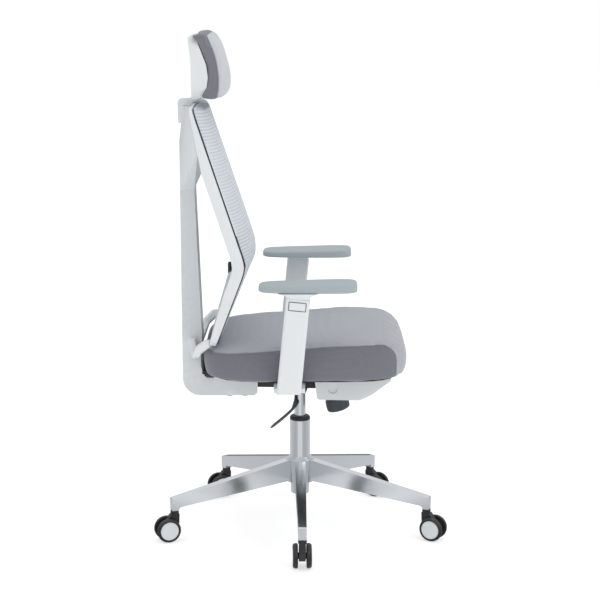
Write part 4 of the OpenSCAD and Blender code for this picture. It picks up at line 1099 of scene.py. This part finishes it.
def arm_pad(word):
    """Pad: rings of a superellipse of power 4.5 from a flat underside over a rounded edge
    to a crowned top.  It thins to the rear, where its underside rises too."""
    low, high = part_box(f"{word}_arm_pad")
    a, b = (high.x - low.x) / 2, (high.y - low.y) / 2
    middle = np.array([(low.x + high.x) / 2, (low.y + high.y) / 2])
    t = np.linspace(0, 2 * math.pi, 160, endpoint=False)
    edge = np.linspace(0, math.pi / 2, 7)
    under = [(3.5 * (1 - math.sin(e)), 3.5 * (1 - math.cos(e))) for e in edge]
    over = [(7 * (1 - math.cos(e)), -7 * (1 - math.sin(e))) for e in edge]
    rows = []
    for inset, height, share in ([(40, 0, 0), (20, 0, 0), (9, 0, 0)]
                                 + [(k, h, 0) for k, h in under]
                                 + [(k, h, 1) for k, h in over]
                                 + [(12, 0.3, 1), (20, 0.8, 1), (32, 1.1, 1), (42, 1.2, 1)]):
        k = inset * MM
        x, y = superellipse(t, max(1.5 * MM, a - k), max(6 * MM, b - k * (1 + 1.2 * (k > 8 * MM))),
                            4.5)
        rise = np.clip((y + b) / (2 * b), 0, 1)
        top = high.z - 1.4 * MM - 6.5 * MM * rise
        bottom = low.z + 1.5 * MM * rise ** 3
        z = (bottom if share == 0 else top) + height * MM
        rows.append(np.stack([x + middle[0], y + middle[1], z], -1))
    piece = grid_piece(f"{word}_armrest", np.array(rows), pad_skin)
    return placed(piece, f"{word}_arm", "pad_grey", f"{word}_arm_pad")


def arm_post(side, word):
    """Post and neck: a rounded rectangle carried up the leaning sleeve, whose half widths
    flare by the power 2.2 of the height towards the pad."""
    pad_low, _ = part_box(f"{word}_arm_pad")
    lean, = joint_line(f"{word}_arm_height", "axis")
    # the sleeve's top middle, on the leaning axis through the arm's foot
    foot = np.array([side * 279.5, 26.5, 430]) * MM
    top = foot + lean * 217 * MM
    t = np.linspace(0, 2 * math.pi, 72, endpoint=False)
    rows = []
    for s in np.linspace(-0.15, -0.004, 5):
        c, q = superellipse(t, 7.6 * MM, 21.6 * MM, 8)
        at = top + lean * s
        rows.append(np.stack([at[0] + c, at[1] + q, np.full_like(t, at[2])], -1))
    h0 = 0.5 * MM
    height = pad_low.z - 0.2 * MM - top[2]
    for s in np.linspace(0, 1, 18):
        flare = (max(0, s - 0.15) / 0.85) ** 2.2
        c, q = superellipse(t, (15.2 + 5 * flare) * MM, (27.8 + 19 * flare) * MM, 7)
        at = top + lean * (h0 + (height - h0) * s)
        tilt = q * math.tan(ARM_LEAN) * (1 - s)
        rows.append(np.stack([at[0] + c, at[1] + q, at[2] + tilt], -1))
    piece = grid_piece(f"{word}_arm_neck", np.array(rows), white, angle=40)
    return placed(piece, f"{word}_arm", "white_plastic", f"{word}_arm_post")


def button_line(side, word):
    """A thin dark line round the arm's button: a small section carried round a rectangle
    with rounded corners, on the sleeve's outer face."""
    low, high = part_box(f"{word}_arm_button")
    x = side * 296.1 * MM
    half_y, half_z, r = 20.3 * MM, 10.3 * MM, 2 * MM
    corner = np.linspace(0, math.pi / 2, 6)
    ring = []
    for k, (sy, sz) in enumerate([(1, 1), (-1, 1), (-1, -1), (1, -1)]):
        for a in corner + k * math.pi / 2:
            ring.append((sy * (half_y - r) + r * math.cos(a), sz * (half_z - r) + r * math.sin(a)))
    ring = np.array(ring)
    middle = np.array([(low.y + high.y) / 2, (low.z + high.z) / 2])
    cos, sin = math.cos(ARM_LEAN), math.sin(ARM_LEAN)
    y = ring[:, 0] * cos - ring[:, 1] * sin + middle[0]
    z = ring[:, 0] * sin + ring[:, 1] * cos + middle[1]
    path = np.stack([np.full(len(ring), x), y, z], -1)
    piece = swept(f"{word}_button_line", path, 0.7 * MM, 0.35 * MM, (side, 0, 0), slate, 8, 2.0,
                  closed=True)
    return placed(piece, "seat", "slate_plastic")


for side, word in ((-1, "right"), (1, "left")):
    softened(f"{word}_arm_sleeve", f"{word}_arm_upright", 1.6 * MM, white, "seat",
             "white_plastic")
    softened(f"{word}_arm_button", f"{word}_arm_catch", 1.0 * MM, white, f"{word}_arm_button",
             "white_plastic")
    arm_pad(word)
    arm_post(side, word)
    button_line(side, word)

softened("seat_shell", "seat_pan", 1.2 * MM, black, "seat", "black_plastic", 2)

# CAD nodes that stay as they are get a finish of their own
for node, material in {
        "column_bush": black, "thrust_bearing": steel, "piston_rod": steel,
        "gas_release_pin": steel, "tilt_pivots": steel, "tilt_spring": steel, "lever_pin": steel,
        "under_seat_bolts": steel, "back_bolts": steel, "headrest_pin": steel,
        **{f"castor_{i}_axle": steel for i in range(1, 6)}}.items():
    mesh = frame["nodes"][node].data
    mesh.materials.clear()
    mesh.materials.append(material)
